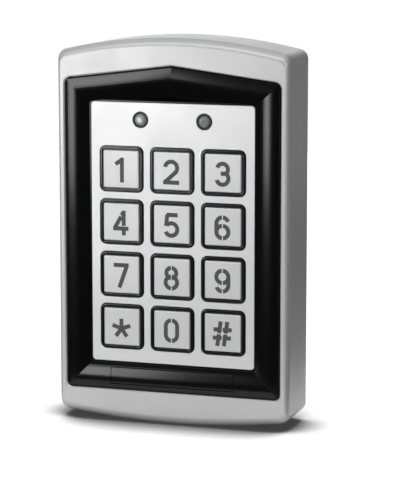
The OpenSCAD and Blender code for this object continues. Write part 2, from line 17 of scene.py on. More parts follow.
import bmesh
import bpy
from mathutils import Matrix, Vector

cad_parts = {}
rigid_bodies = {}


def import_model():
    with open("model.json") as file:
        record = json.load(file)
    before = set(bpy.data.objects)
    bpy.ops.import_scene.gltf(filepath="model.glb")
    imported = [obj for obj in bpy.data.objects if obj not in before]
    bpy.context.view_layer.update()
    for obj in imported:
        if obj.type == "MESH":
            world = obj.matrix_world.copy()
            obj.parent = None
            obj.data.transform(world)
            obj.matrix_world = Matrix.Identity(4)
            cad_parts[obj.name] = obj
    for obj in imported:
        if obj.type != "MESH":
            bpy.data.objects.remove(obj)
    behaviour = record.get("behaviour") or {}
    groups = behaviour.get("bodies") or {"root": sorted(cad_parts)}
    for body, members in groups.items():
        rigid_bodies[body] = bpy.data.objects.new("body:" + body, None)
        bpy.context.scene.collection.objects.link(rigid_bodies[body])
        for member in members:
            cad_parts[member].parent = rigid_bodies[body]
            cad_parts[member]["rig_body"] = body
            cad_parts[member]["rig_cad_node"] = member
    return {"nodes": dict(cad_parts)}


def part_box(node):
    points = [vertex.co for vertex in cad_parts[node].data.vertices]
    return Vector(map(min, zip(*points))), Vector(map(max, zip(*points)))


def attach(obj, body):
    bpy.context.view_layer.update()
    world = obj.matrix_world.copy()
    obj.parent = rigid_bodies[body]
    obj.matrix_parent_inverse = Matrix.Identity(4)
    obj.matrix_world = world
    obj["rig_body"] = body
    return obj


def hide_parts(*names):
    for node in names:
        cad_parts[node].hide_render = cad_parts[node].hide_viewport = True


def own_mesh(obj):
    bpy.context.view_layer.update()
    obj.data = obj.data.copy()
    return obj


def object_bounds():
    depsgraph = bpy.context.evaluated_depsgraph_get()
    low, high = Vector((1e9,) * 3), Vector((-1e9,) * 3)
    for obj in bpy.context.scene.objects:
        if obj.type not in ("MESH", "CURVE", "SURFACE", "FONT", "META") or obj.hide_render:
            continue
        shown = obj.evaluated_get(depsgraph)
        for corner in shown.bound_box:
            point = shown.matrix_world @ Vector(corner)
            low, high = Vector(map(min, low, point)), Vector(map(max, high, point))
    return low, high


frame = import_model()
CAD_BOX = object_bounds()

MM = 0.001
READER = "reader"
KEY_NAMES = ("1", "2", "3", "4", "5", "6", "7", "8", "9", "star", "0", "hash")
# Two places this near count as one
CLOSE = 0.001 * MM
# Points nearer than this are merged
MERGE = 0.002 * MM
# How far a cutting tool reaches past what it cuts
PAST = 1 * MM
log = logging.getLogger("access_reader")

Piece = bpy.types.Object
Tree = bpy.types.NodeTree
Socket = bpy.types.NodeSocket
EdgeTest = Callable[[Vector, Vector], bool]


# ---------------------------------------------------------------- modelling


def clear_selection() -> None:
    """Deselects every object."""
    for item in bpy.context.scene.objects:
        item.select_set(False)


def take(piece: Piece) -> Piece:
    """Makes one piece the only selected and active one.

    Args:
        piece: The object to work on.

    Returns:
        The same object.
    """
    clear_selection()
    piece.select_set(True)
    bpy.context.view_layer.objects.active = piece
    return piece


def fresh() -> Piece:
    """Takes the object that an operator has just added, and settles its place in its mesh.

    Returns:
        The new object.
    """
    piece = take(bpy.context.object)
    bpy.ops.object.transform_apply(location=True, rotation=True, scale=True)
    return piece


def block(low: Iterable[float], high: Iterable[float]) -> Piece:
    """Adds a cuboid between two corners.

    Args:
        low: Lowest corner.
        high: Highest corner.

    Returns:
        The new object, with its place in its mesh.
    """
    a, b = Vector(low), Vector(high)
    clear_selection()
    bpy.ops.mesh.primitive_cube_add(size=1, location=(a + b) / 2, scale=b - a)
    return fresh()


def rod(
    centre: Iterable[float], radius: float, length: float, sides: int = 48, upright: bool = False
) -> Piece:
    """Adds a cylinder whose axis runs along Y, or along Z.

    Args:
        centre: Middle of the cylinder.
        radius: Its radius.
        length: Its length along the axis.
        sides: How many sides its round has.
        upright: Turns the axis along Z.

    Returns:
        The new object, with its place in its mesh.
    """
    clear_selection()
    bpy.ops.mesh.primitive_cylinder_add(
        vertices=sides,
        radius=radius,
        depth=length,
        location=Vector(centre),
        rotation=(0 if upright else math.pi / 2, 0, 0),
    )
    return fresh()


@contextmanager
def editing(piece: Piece, mode: str = "FACE") -> Iterator[None]:
    """Opens a piece in edit mode with nothing selected, and closes it again.

    Args:
        piece: The object to edit.
        mode: VERT, EDGE or FACE.
    """
    take(piece)
    bpy.ops.object.mode_set(mode="EDIT")
    bpy.ops.mesh.select_mode(type=mode)
    bpy.ops.mesh.select_all(action="DESELECT")
    yield
    bpy.ops.object.mode_set(mode="OBJECT")


def pick_faces(piece: Piece, test: Callable[[Vector], bool]) -> None:
    """Selects the faces whose normal passes a test, inside edit mode.

    Args:
        piece: The object being edited.
        test: Takes a face's normal.
    """
    mesh = bmesh.from_edit_mesh(piece.data)
    for face in mesh.faces:
        face.select_set(test(face.normal))
    bmesh.update_edit_mesh(piece.data)


def pick_edges(piece: Piece, test: EdgeTest) -> int:
    """Selects the edges whose two ends pass a test, inside edit mode.

    Args:
        piece: The object being edited.
        test: Takes an edge's two ends.

    Returns:
        How many edges are selected.
    """
    mesh = bmesh.from_edit_mesh(piece.data)
    for edge in mesh.edges:
        edge.select_set(test(edge.verts[0].co, edge.verts[1].co))
    bmesh.update_edit_mesh(piece.data)
    return sum(edge.select for edge in mesh.edges)


def round_edges(piece: Piece, width: float, segments: int, test: EdgeTest) -> None:
    """Rounds the edges whose two ends pass a test.

    Args:
        piece: The object to work on.
        width: Radius of the rounding.
        segments: How many faces make the round.
        test: Takes an edge's two ends.
    """
    with editing(piece, "EDGE"):
        if pick_edges(piece, test):
            bpy.ops.mesh.bevel(offset=width, segments=segments, affect="EDGES", clamp_overlap=True)


def looks_front(normal: Vector) -> bool:
    """Tells if a face looks to the front."""
    return normal.y < -0.9


def looks_back(normal: Vector) -> bool:
    """Tells if a face looks to the back."""
    return normal.y > 0.9


def looks_along_y(normal: Vector) -> bool:
    """Tells if a face looks to the front or to the back."""
    return looks_front(normal) or looks_back(normal)


def along_y(a: Vector, b: Vector) -> bool:
    """Tells if an edge runs along Y."""
    return abs(a.x - b.x) < CLOSE and abs(a.z - b.z) < CLOSE


def at_depth(y: float) -> EdgeTest:
    """Makes a test for edges that lie wholly at one depth."""
    return lambda a, b: abs(a.y - y) < CLOSE and abs(b.y - y) < CLOSE


def middle_of(node: str) -> Vector:
    """Middle of a CAD node's box."""
    low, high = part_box(node)
    return (low + high) / 2


class Pen:
    """Draws a closed outline in X and Z with straight and round strokes, and fills it."""

    def __init__(self, x: float, y: float, z: float) -> None:
        """Marks the first point, by a small square that is merged into its middle.

        Args:
            x: Where the outline starts.
            y: Depth of the outline.
            z: Height at which it starts.
        """
        clear_selection()
        bpy.ops.mesh.primitive_plane_add(size=MM, location=(x, y, z))
        self.piece = fresh()
        self.y = y
        bpy.ops.object.mode_set(mode="EDIT")
        bpy.ops.mesh.select_mode(type="VERT")
        bpy.ops.mesh.select_all(action="SELECT")
        bpy.ops.mesh.merge(type="CENTER")

    def line(self, dx: float, dz: float) -> None:
        """Draws a straight stroke."""
        bpy.ops.mesh.extrude_region_move(TRANSFORM_OT_translate={"value": (dx, 0, dz)})

    def arc(self, x: float, z: float, degrees: float, steps: int) -> None:
        """Draws a round stroke about a centre, to the left where the angle is positive."""
        bpy.ops.mesh.spin(steps=steps, angle=math.radians(degrees), center=(x, self.y, z), axis=(0, 1, 0))

    def slab(self, depth: float) -> Piece:
        """Closes the outline, fills it and gives it thickness.

        Args:
            depth: How far it reaches back.

        Returns:
            The solid.
        """
        bpy.ops.mesh.select_all(action="SELECT")
        bpy.ops.mesh.remove_doubles(threshold=MERGE)
        bpy.ops.mesh.edge_face_add()
        bpy.ops.mesh.extrude_region_move(TRANSFORM_OT_translate={"value": (0, depth, 0)})
        bpy.ops.mesh.select_all(action="SELECT")
        bpy.ops.mesh.normals_make_consistent(inside=False)
        bpy.ops.object.mode_set(mode="OBJECT")
        return self.piece


def modify(piece: Piece, kind: str, **settings: object) -> None:
    """Adds a modifier with its settings, and applies it.

    Args:
        piece: The object to work on.
        kind: The modifier's type.
        **settings: Its properties.
    """
    take(piece)
    modifier = piece.modifiers.new(kind.lower(), kind)
    for key, value in settings.items():
        setattr(modifier, key, value)
    bpy.ops.object.modifier_apply(modifier=modifier.name)


def carve(piece: Piece, tool: Piece, operation: str = "DIFFERENCE") -> None:
    """Cuts, joins or crosses a piece with a tool, which is used up.

    Args:
        piece: The object to work on.
        tool: The other object.
        operation: DIFFERENCE, UNION or INTERSECT.
    """
    modify(piece, "BOOLEAN", operation=operation, object=tool, solver="EXACT")
    bpy.data.objects.remove(tool, do_unlink=True)


def copy_of(piece: Piece, shift: Iterable[float] = (0, 0, 0)) -> Piece:
    """Copies a piece with its own mesh, and moves the copy's mesh.

    Args:
        piece: The object to copy.
        shift: How far to move the copy.

    Returns:
        The copy.
    """
    take(piece)
    bpy.ops.object.duplicate(linked=False)
    bpy.ops.transform.translate(value=tuple(shift))
    return fresh()


def joined(pieces: list[Piece]) -> Piece:
    """Joins several pieces into the first one's mesh.

    Args:
        pieces: The objects, of which all but the first are used up.

    Returns:
        The first one.
    """
    take(pieces[0])
    for item in pieces[1:]:
        item.select_set(True)
    if len(pieces) > 1:
        bpy.ops.object.join()
    return pieces[0]


def smooth(piece: Piece, degrees: float = 32) -> None:
    """Shades a piece smoothly across its shallow edges, and keeps its flats flat.

    Args:
        piece: The object to shade.
        degrees: Edges sharper than this stay crisp.
    """
    take(piece)
    bpy.ops.object.shade_smooth_by_angle(angle=math.radians(degrees))
    modify(piece, "WEIGHTED_NORMAL", keep_sharp=True)


def softened(node: str, width: float, degrees: float = 35, flat: float = 0.5) -> Piece:
    """Copies a CAD node, merges its loose triangles, and takes the edge off its sharp corners.

    Args:
        node: The CAD node.
        width: Radius of the softened edges.
        degrees: Edges sharper than this are softened.
        flat: Faces that differ by less than this many degrees become one.

    Returns:
        The copy, which isn't dressed yet.
    """
    take(frame["nodes"][node])
    bpy.ops.object.duplicate(linked=False)
    piece = bpy.context.object
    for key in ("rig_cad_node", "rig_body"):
        if key in piece:
            del piece[key]
    piece.parent = None
    with editing(piece, "VERT"):
        bpy.ops.mesh.select_all(action="SELECT")
        bpy.ops.mesh.remove_doubles(threshold=MERGE)
        bpy.ops.mesh.dissolve_limited(angle_limit=math.radians(flat))
    limit = math.radians(degrees)
    modify(piece, "BEVEL", width=width, segments=2, limit_method="ANGLE", angle_limit=limit)
    return piece


def dress(
    piece: Piece,
    name: str,
    finish: Finish,
    body: str = READER,
    replaces: tuple[str, ...] = (),
) -> Piece:
    """Names a piece, gives it its finish, and sets it on its body.

    Args:
        piece: The object to dress.
        name: The piece's name.
        finish: Its finish.
        body: The CAD body that it rides on.
        replaces: CAD nodes that it stands for.

    Returns:
        The same object.
    """
    piece.name = name
    piece.data.name = name
    piece.data.materials.clear()
    piece.data.materials.append(finish.material())
    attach(piece, body)
    if replaces:
        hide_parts(*replaces)
    return piece


# ---------------------------------------------------------------- finishes


def linear(colour: str) -> tuple[float, float, float, float]:
    """Turns an sRGB hex colour into linear light.

    Args:
        colour: Such as "#808080".

    Returns:
        Red, green, blue and alpha.
    """
    parts = [int(colour[i : i + 2], 16) / 255 for i in (1, 3, 5)]
    r, g, b = (p / 12.92 if p <= 0.04045 else ((p + 0.055) / 1.055) ** 2.4 for p in parts)
    return r, g, b, 1.0


WHITE = linear("#FFFFFF")


def add_node(
    tree: Tree,
    kind: str,
    links: dict[str | int, Socket] | None = None,
    **settings: object,
) -> bpy.types.Node:
    """Adds a node with its settings and links.

    Args:
        tree: The node tree.
        kind: The node's type.
        links: Input names and the sockets that feed them.
        **settings: Properties of the node, or values of its inputs, with _ for a space.

    Returns:
        The node.
    """
    node = tree.nodes.new(kind)
    for key, value in settings.items():
        if hasattr(node, key):
            setattr(node, key, value)
        else:
            node.inputs[key.replace("_", " ")].default_value = value
    for name, socket in (links or {}).items():
        tree.links.new(socket, node.inputs[name])
    return node


class Grain(Enum):
    """How a surface was made, as the stretch of its grain along X, Y and Z."""

    EVEN = (1.0, 1.0, 1.0)
    BRUSHED_UP = (1.0, 1.0, 0.02)


@dataclass(frozen=True)
class Finish:
    """An opaque finish: a colour that varies a little, and a fine grain that shows in gloss and relief.

    Args:
        name: The finish's common name.
        colour: sRGB hex colour.
        shade: Second sRGB hex colour that it drifts to.
        roughness: Middle roughness.
        metallic: 1 for bare metal, 0 for plastic, and between for metallic paint and satin plating.
        ior: Index of refraction, or None for a metal.
        coat: Weight of a clear coat.
        coat_roughness: Roughness of that coat.
        grain_size: Size of one grain. Paint flakes and brush marks are some hundredths of a millimetre
            wide, too fine to show, so they are drawn at some tenths.
        drift_size: Size of the slow drift in colour and gloss.
        relief: Height of the grain's relief.
        variation: How far the roughness strays.
        sheen: Share of the mirrored light that the surface keeps, where 0.5 is all of it.
        grain: Which way the grain runs.
    """

    name: str
    colour: str
    shade: str
    roughness: float
    metallic: float = 0.0
    ior: float | None = 1.5
    coat: float = 0.0
    coat_roughness: float = 0.08
    grain_size: float = 0.4 * MM
    drift_size: float = 14 * MM
    relief: float = 0.004 * MM
    variation: float = 0.06
    sheen: float = 0.5
    grain: Grain = Grain.EVEN

    def material(self) -> bpy.types.Material:
        """Makes the material, or finds it if it was made before.

        Returns:
            The material.
        """
        made = bpy.data.materials.get(self.name)
        if made is None:
            made = bpy.data.materials.new(self.name)
            made.use_nodes = True
            self.paint(made.node_tree, made.node_tree.nodes["Principled BSDF"])
        return made

    def paint(self, tree: Tree, shader: bpy.types.Node) -> None:
        """Builds the finish's nodes.

        Args:
            tree: The material's node tree.
            shader: Its Principled BSDF.
        """
        place = add_node(tree, "ShaderNodeTexCoord").outputs["Object"]
        mapping = add_node(tree, "ShaderNodeMapping", {"Vector": place}, Scale=self.grain.value)
        stretched = mapping.outputs["Vector"]
        broad, fine = 1 / self.drift_size, 1 / self.grain_size
        clouds = add_node(tree, "ShaderNodeTexNoise", {"Vector": place}, Scale=broad, Detail=3.0)
        grains = add_node(tree, "ShaderNodeTexNoise", {"Vector": stretched}, Scale=fine, Detail=2.0)
        drift, grit = clouds.outputs["Fac"], grains.outputs["Fac"]
        tone = add_node(tree, "ShaderNodeMix", {"Factor": drift}, data_type="RGBA")
        colours = [socket for socket in tone.inputs if socket.type == "RGBA"]
        colours[0].default_value, colours[1].default_value = linear(self.colour), linear(self.shade)
        out = next(socket for socket in tone.outputs if socket.type == "RGBA")
        tree.links.new(out, shader.inputs["Base Color"])
        # Each noise stays near 0.5, so the two add up to between 0.6 and 1.4
        both = add_node(tree, "ShaderNodeMath", {0: drift, 1: grit}, operation="ADD").outputs[0]
        gloss = add_node(tree, "ShaderNodeMapRange", {"Value": both}, From_Min=0.6, From_Max=1.4)
        gloss.inputs["To Min"].default_value = self.roughness - self.variation
        gloss.inputs["To Max"].default_value = self.roughness + self.variation
        tree.links.new(gloss.outputs[0], shader.inputs["Roughness"])
        bump = add_node(tree, "ShaderNodeBump", {"Height": grit}, Strength=0.5, Distance=self.relief)
        tree.links.new(bump.outputs[0], shader.inputs["Normal"])
        shader.inputs["Specular IOR Level"].default_value = self.sheen
        shader.inputs["Metallic"].default_value = self.metallic
        if self.ior is not None:
            shader.inputs["IOR"].default_value = self.ior
        if self.coat:
            shader.inputs["Coat Weight"].default_value = self.coat
            shader.inputs["Coat Roughness"].default_value = self.coat_roughness


@dataclass(frozen=True)
class LensFinish(Finish):
    """A clear cast resin that light passes through.

    Args:
        transmission: Weight of the light that passes through.
    """

    transmission: float = 0.15

    def paint(self, tree: Tree, shader: bpy.types.Node) -> None:
        """Builds the finish's nodes and lets light through.

        Args:
            tree: The material's node tree.
            shader: Its Principled BSDF.
        """
        super().paint(tree, shader)
        shader.inputs["Transmission Weight"].default_value = self.transmission


# Satin silver paint on a die casting: a soft sheen that is the same in every direction
HOUSING_PAINT = Finish(
    "satin_silver_paint", "#C2C2C2", "#BCBCBD", 0.37, metallic=0.24, relief=0.0006 * MM
)
# Black ABS, moulded in a polished tool: deep black with long soft streaks of light
BEZEL_ABS = Finish(
    "gloss_black_abs",
    "#060606",
    "#09090A",
    0.15,
    ior=1.53,
    grain_size=0.7 * MM,
    relief=0.0006 * MM,
    variation=0.02,
    sheen=0.22,
)
# The same ABS on the bare insert, with a touch less sheen
INSERT_ABS = Finish(
    "satin_black_abs",
    "#07070A",
    "#0B0B0D",
    0.14,
    ior=1.53,
    grain_size=0.7 * MM,
    relief=0.0004 * MM,
    variation=0.02,
    sheen=0.2,
)
# Fine satin silver on the faceplate: almost white, with hardly any texture
FACEPLATE_SATIN = Finish(
    "satin_nickel_silver", "#D8D8D8", "#D3D3D4", 0.4, metallic=0.4, relief=0.001 * MM
)
# Satin chrome-plated caps: a little darker than the faceplate, brushed up and down
KEY_CHROME = Finish(
    "satin_chrome", "#D0D0D0", "#CACACB", 0.4, metallic=0.35, relief=0.001 * MM, grain=Grain.BRUSHED_UP
)
# Dark grey enamel filled into the numerals: dull and flat
NUMERAL_PAINT = Finish("numeral_enamel", "#3E3E40", "#464648", 0.5, drift_size=3 * MM)
# Black silicone rubber from a polished mould: black, with a soft grey gleam along its round bead
SILICONE = Finish(
    "black_silicone", "#0A0A0B", "#0F0F10", 0.17, ior=1.43, grain_size=0.25 * MM, relief=0.0008 * MM
)
# Grey silicone rubber of the domes: matt
GREY_SILICONE = Finish("grey_silicone", "#5A5B5C", "#626364", 0.5, ior=1.43)
# Black nitrile rubber of the seal and grommet: dull and slightly dusty
RUBBER = Finish("black_rubber", "#18181A", "#222224", 0.65, ior=1.52, relief=0.008 * MM)
# Black nylon of the lamp holders: fine satin
NYLON = Finish("black_nylon", "#161617", "#1C1C1D", 0.38, ior=1.53)
# Clear grey epoxy, cast: wet gloss with some depth
LENS_EPOXY = LensFinish(
    "clear_grey_epoxy", "#9C9E9C", "#909290", 0.04, ior=1.52, relief=0.0, variation=0.01
)
# The same epoxy, a shade darker for the right lamp: painted shade, so that it looks less lit than the left
# lamp
SHADED_EPOXY = LensFinish(
    "shaded_grey_epoxy", "#868886", "#7C7E7C", 0.04, ior=1.52, relief=0.0, variation=0.01
)
# Green solder mask over glass-epoxy board: semi-gloss, its weave just visible as relief
BOARD_MASK = Finish(
    "green_solder_mask", "#0E4A22", "#125228", 0.3, coat=0.3, grain_size=0.8 * MM, relief=0.006 * MM
)
# Gold plating on the copper contacts: warm and even
GOLD_PLATE = Finish("gold_plated_copper", "#E2B857", "#D8AC4C", 0.25, metallic=1.0, ior=None)
# Enamelled copper winding: wires lie side by side, so the gloss breaks up finely
COPPER = Finish(
    "enamelled_copper",
    "#B5622F",
    "#9C5026",
    0.3,
    metallic=1.0,
    ior=None,
    grain_size=0.3 * MM,
    relief=0.02 * MM,
)
# Moulded epoxy of chip and buzzer: black and matt, as it leaves a sand-blasted mould
MOULDED_EPOXY = Finish("moulded_epoxy", "#17171A", "#1E1E21", 0.6, grain_size=0.2 * MM, relief=0.008 * MM)
# Blue PBT of the relay's case, moulded: smooth satin
RELAY_CASE = Finish("blue_pbt_case", "#1F4FA3", "#1B4794", 0.35)
# Green nylon of the terminal block, moulded: satin, a little waxy
TERMINAL_NYLON = Finish("green_nylon", "#1E7A45", "#1A6D3E", 0.42)
# Shrunk PVC sleeve of the capacitors: slate, under a clear gloss
CAN_SLEEVE = Finish("slate_can_sleeve", "#37404A", "#2F3740", 0.3, coat=0.3)
# Resin coating of the light cell: tan and satin
CELL_COATING = Finish("tan_cell_coating", "#A98C5B", "#9B7F50", 0.45)
# Zinc-plated steel of the wall plate: cool grey with a cloudy spangle
ZINC_PLATE = Finish(
    "zinc_plated_steel",
    "#B7BBC0",
    "#9FA4AB",
    0.38,
    metallic=1.0,
    ior=None,
    grain_size=1.5 * MM,
    drift_size=6 * MM,
    variation=0.12,
)
# Zinc-plated steel of the screws: small and even
SCREW_STEEL = Finish(
    "zinc_plated_screw", "#A9ABAD", "#95989B", 0.34, metallic=1.0, ior=None, drift_size=2 * MM
)


# ---------------------------------------------------------------- housing and bezel


# Side and corner radius of a key's window, in the bezel's floor and in the faceplate
WINDOW = 14.4 * MM
WINDOW_CORNER = 2.0 * MM


def window_tool(front: float, back: float) -> Piece:
    """Makes the tool that cuts the twelve windows of the keys.

    Args:
        front: Y of its front.
        back: Y of its back.

    Returns:
        The tool.
    """
    half = WINDOW / 2
    cutters = []
    for name in KEY_NAMES:
        centre = middle_of(f"key_{name}")
        low = (centre.x - half, front, centre.z - half)
        cutters.append(block(low, (centre.x + half, back, centre.z + half)))
    tool = joined(cutters)
    round_edges(tool, WINDOW_CORNER, 7, along_y)
    return tool


@dataclass
class Opening:
    """The gabled opening in the housing's front.

    Args:
        width: Its full width.
        low: Height of its lower edge.
        shoulder: Height of its upper corners.
        apex: Height of its peak.
        corner: Radius of its four corners.
    """

    width: float = 69.9 * MM
    low: float = -50.15 * MM
    shoulder: float = 47.45 * MM
    apex: float = 51.85 * MM
    corner: float = 2.0 * MM

    def slope(self) -> float:
        """The gable's angle above the horizontal."""
        return math.atan2(self.apex - self.shoulder, self.width / 2)

    def prism(self, inset: float, front: float, back: float, sharp: bool = False) -> Piece:
        """Makes a prism of the opening's outline.

        Args:
            inset: How far the outline is drawn in.
            front: Y of its front.
            back: Y of its back.
            sharp: Leaves the corners square.

        Returns:
            The prism.
        """
        half = self.width / 2 - inset
        apex = self.apex - inset / math.cos(self.slope())
        shoulder = apex - half * math.tan(self.slope())
        piece = block((-half, front, self.low + inset), (half, back, shoulder))
        with editing(piece, "EDGE"):
            pick_edges(piece, lambda a, b: min(a.z, b.z) > shoulder - CLOSE and abs(a.x - b.x) > half)
            bpy.ops.mesh.subdivide(number_cuts=1)
            pick_edges(piece, lambda a, b: max(abs(a.x), abs(b.x)) < CLOSE)
            bpy.ops.transform.translate(value=(0, 0, apex - shoulder))
        if not sharp:
            round_edges(piece, self.corner, 8, lambda a, b: along_y(a, b) and abs(a.x) > half / 2)
        return piece


@dataclass
class Housing:
    """The die-cast housing: a shell with a crowned top and bottom, open at the back.

    Args:
        top_rise: Rise of the crowned top.
        bottom_drop: Drop of the crowned bottom.
        corner: Corner radius.
        side_fillet: Fillet of the front edge along the sides.
        end_fillet: Fillet of the front edge along the top and bottom.
        wall: Thickness of the walls.
        front: Thickness of the front.
        chamfer: Width of the chamfer round the opening.
        boss: Radius of the boss round the security screw.
        boss_height: Height of that boss above the bottom.
        boss_root: How far that boss reaches past the recess, into the bottom wall.
        recess: Depth of the recess that takes the screw's head.
        screw_gap: Gap round the screw's head.
        screw_hole: Radius of the hole for the screw's shank.
        corner_steps: Facets of a round corner.
        crown_steps: Facets of a crowned end.
        fillet_steps: Rings of the front's fillet.
        opening: The opening in the front.
    """

    top_rise: float = 4.5 * MM
    bottom_drop: float = 3.0 * MM
    corner: float = 3.0 * MM
    side_fillet: float = 1.4 * MM
    end_fillet: float = 2.8 * MM
    wall: float = 1.8 * MM
    front: float = 2.2 * MM
    chamfer: float = 0.35 * MM
    boss: float = 4.5 * MM
    boss_height: float = 4 * MM
    boss_root: float = 0.4 * MM
    recess: float = 2 * MM
    screw_gap: float = 0.2 * MM
    screw_hole: float = 1.7 * MM
    corner_steps: int = 8
    crown_steps: int = 40
    fillet_steps: int = 8
    opening: Opening = field(default_factory=Opening)

    def __post_init__(self) -> None:
        """Reads the housing's outer size from the frame."""
        self.low, self.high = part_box("housing")

    def form(self, inset: float, front: float, back: float) -> Piece:
        """Makes a slab of the outline: straight sides, crowned ends and round corners.

        Args:
            inset: How far the outline is drawn in.
            front: Y of its front.
            back: Y of its back.

        Returns:
            The slab.
        """
        chord, half, corner = 2 * self.high.x, self.high.x - inset, self.corner - inset
        ends = []
        for rise, end in ((self.top_rise, self.high.z), (self.bottom_drop, -self.low.z)):
            radius = (chord**2 / 4 + rise**2) / (2 * rise)
            up = math.sqrt((radius - inset - corner) ** 2 - (half - corner) ** 2)
            ends.append((end - radius, end - radius + up, math.degrees(math.atan2(up, half - corner))))
        (top_centre, top, top_turn), (low_centre, low, low_turn) = ends
        pen = Pen(half, front, -low)
        pen.line(0, low + top)
        pen.arc(half - corner, top, top_turn, self.corner_steps)
        pen.arc(0, top_centre, 180 - 2 * top_turn, self.crown_steps)
        pen.arc(corner - half, top, top_turn, self.corner_steps)
        pen.line(0, -low - top)
        pen.arc(corner - half, -low, low_turn, self.corner_steps)
        pen.arc(0, -low_centre, 180 - 2 * low_turn, self.crown_steps)
        pen.arc(half - corner, -low, low_turn, self.corner_steps)
        return pen.slab(back - front)

    def fillet_front(self, piece: Piece) -> None:
        """Raises the front by rings that round it off, more along the crowned ends than along the sides.

        Args:
            piece: The housing's slab, which ends one fillet short of the front.
        """
        half, height = self.high.x, (self.high.z - self.low.z) / 2
        drawn, raised = 0.0, 0.0
        with editing(piece):
            pick_faces(piece, looks_front)
            for step in range(1, self.fillet_steps + 1):
                angle = math.radians(90 * step / self.fillet_steps)
                inwards, up = 1 - math.cos(angle), math.sin(angle)
                rise = (0, (raised - up) * self.end_fillet, 0)
                bpy.ops.mesh.extrude_region_move(TRANSFORM_OT_translate={"value": rise})
                wide = (half - self.side_fillet * inwards) / (half - self.side_fillet * drawn)
                tall = (height - self.end_fillet * inwards) / (height - self.end_fillet * drawn)
                bpy.ops.transform.resize(value=(wide, 1, tall), center_override=(0, 0, 0))
                drawn, raised = inwards, up

    def seat_screw(self, shell: Piece) -> None:
        """Adds the boss of the security screw inside the bottom, and sinks the recess for its head.

        Args:
            shell: The housing.
        """
        low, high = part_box("security_screw")
        y, head = (low.y + high.y) / 2, (high.x - low.x) / 2
        top, seat = self.low.z + self.boss_height, self.low.z + self.recess
        start = seat - self.boss_root
        carve(shell, rod((0, y, (start + top) / 2), self.boss, top - start, 64, upright=True), "UNION")
        depth = self.recess + PAST
        carve(shell, rod((0, y, seat - depth / 2), head + self.screw_gap, depth, 64, upright=True))
        carve(shell, rod((0, y, seat), self.screw_hole, 2 * self.boss_height, 48, upright=True))

    def mouth(self) -> Piece:
        """Makes the tool that cuts the opening, flared towards the front for the chamfer.

        Returns:
            The tool.
        """
        piece = self.opening.prism(0, self.low.y + self.chamfer, self.low.y + 2 * self.front)
        width, height = self.opening.width, self.opening.apex - self.opening.low
        # The flare runs on in front of the housing, past the chamfer's own width
        reach = 3 * self.chamfer
        with editing(piece):
            pick_faces(piece, looks_front)
            bpy.ops.mesh.extrude_region_move(TRANSFORM_OT_translate={"value": (0, -reach, 0)})
            bpy.ops.transform.resize(
                value=(1 + 2 * reach / width, 1, 1 + 2 * reach / height),
                center_override=(0, self.low.y, (self.opening.apex + self.opening.low) / 2),
            )
        return piece

    def build(self) -> list[Piece]:
        """Models the shell and dresses it.

        Returns:
            The housing.
        """
        shell = self.form(0, self.low.y + self.end_fillet, self.high.y)
        self.fillet_front(shell)
        carve(shell, self.form(self.wall, self.low.y + self.front, self.high.y + PAST))
        carve(shell, self.mouth())
        self.seat_screw(shell)
        smooth(shell)
        return [dress(shell, "housing_shell", HOUSING_PAINT, replaces=("housing",))]


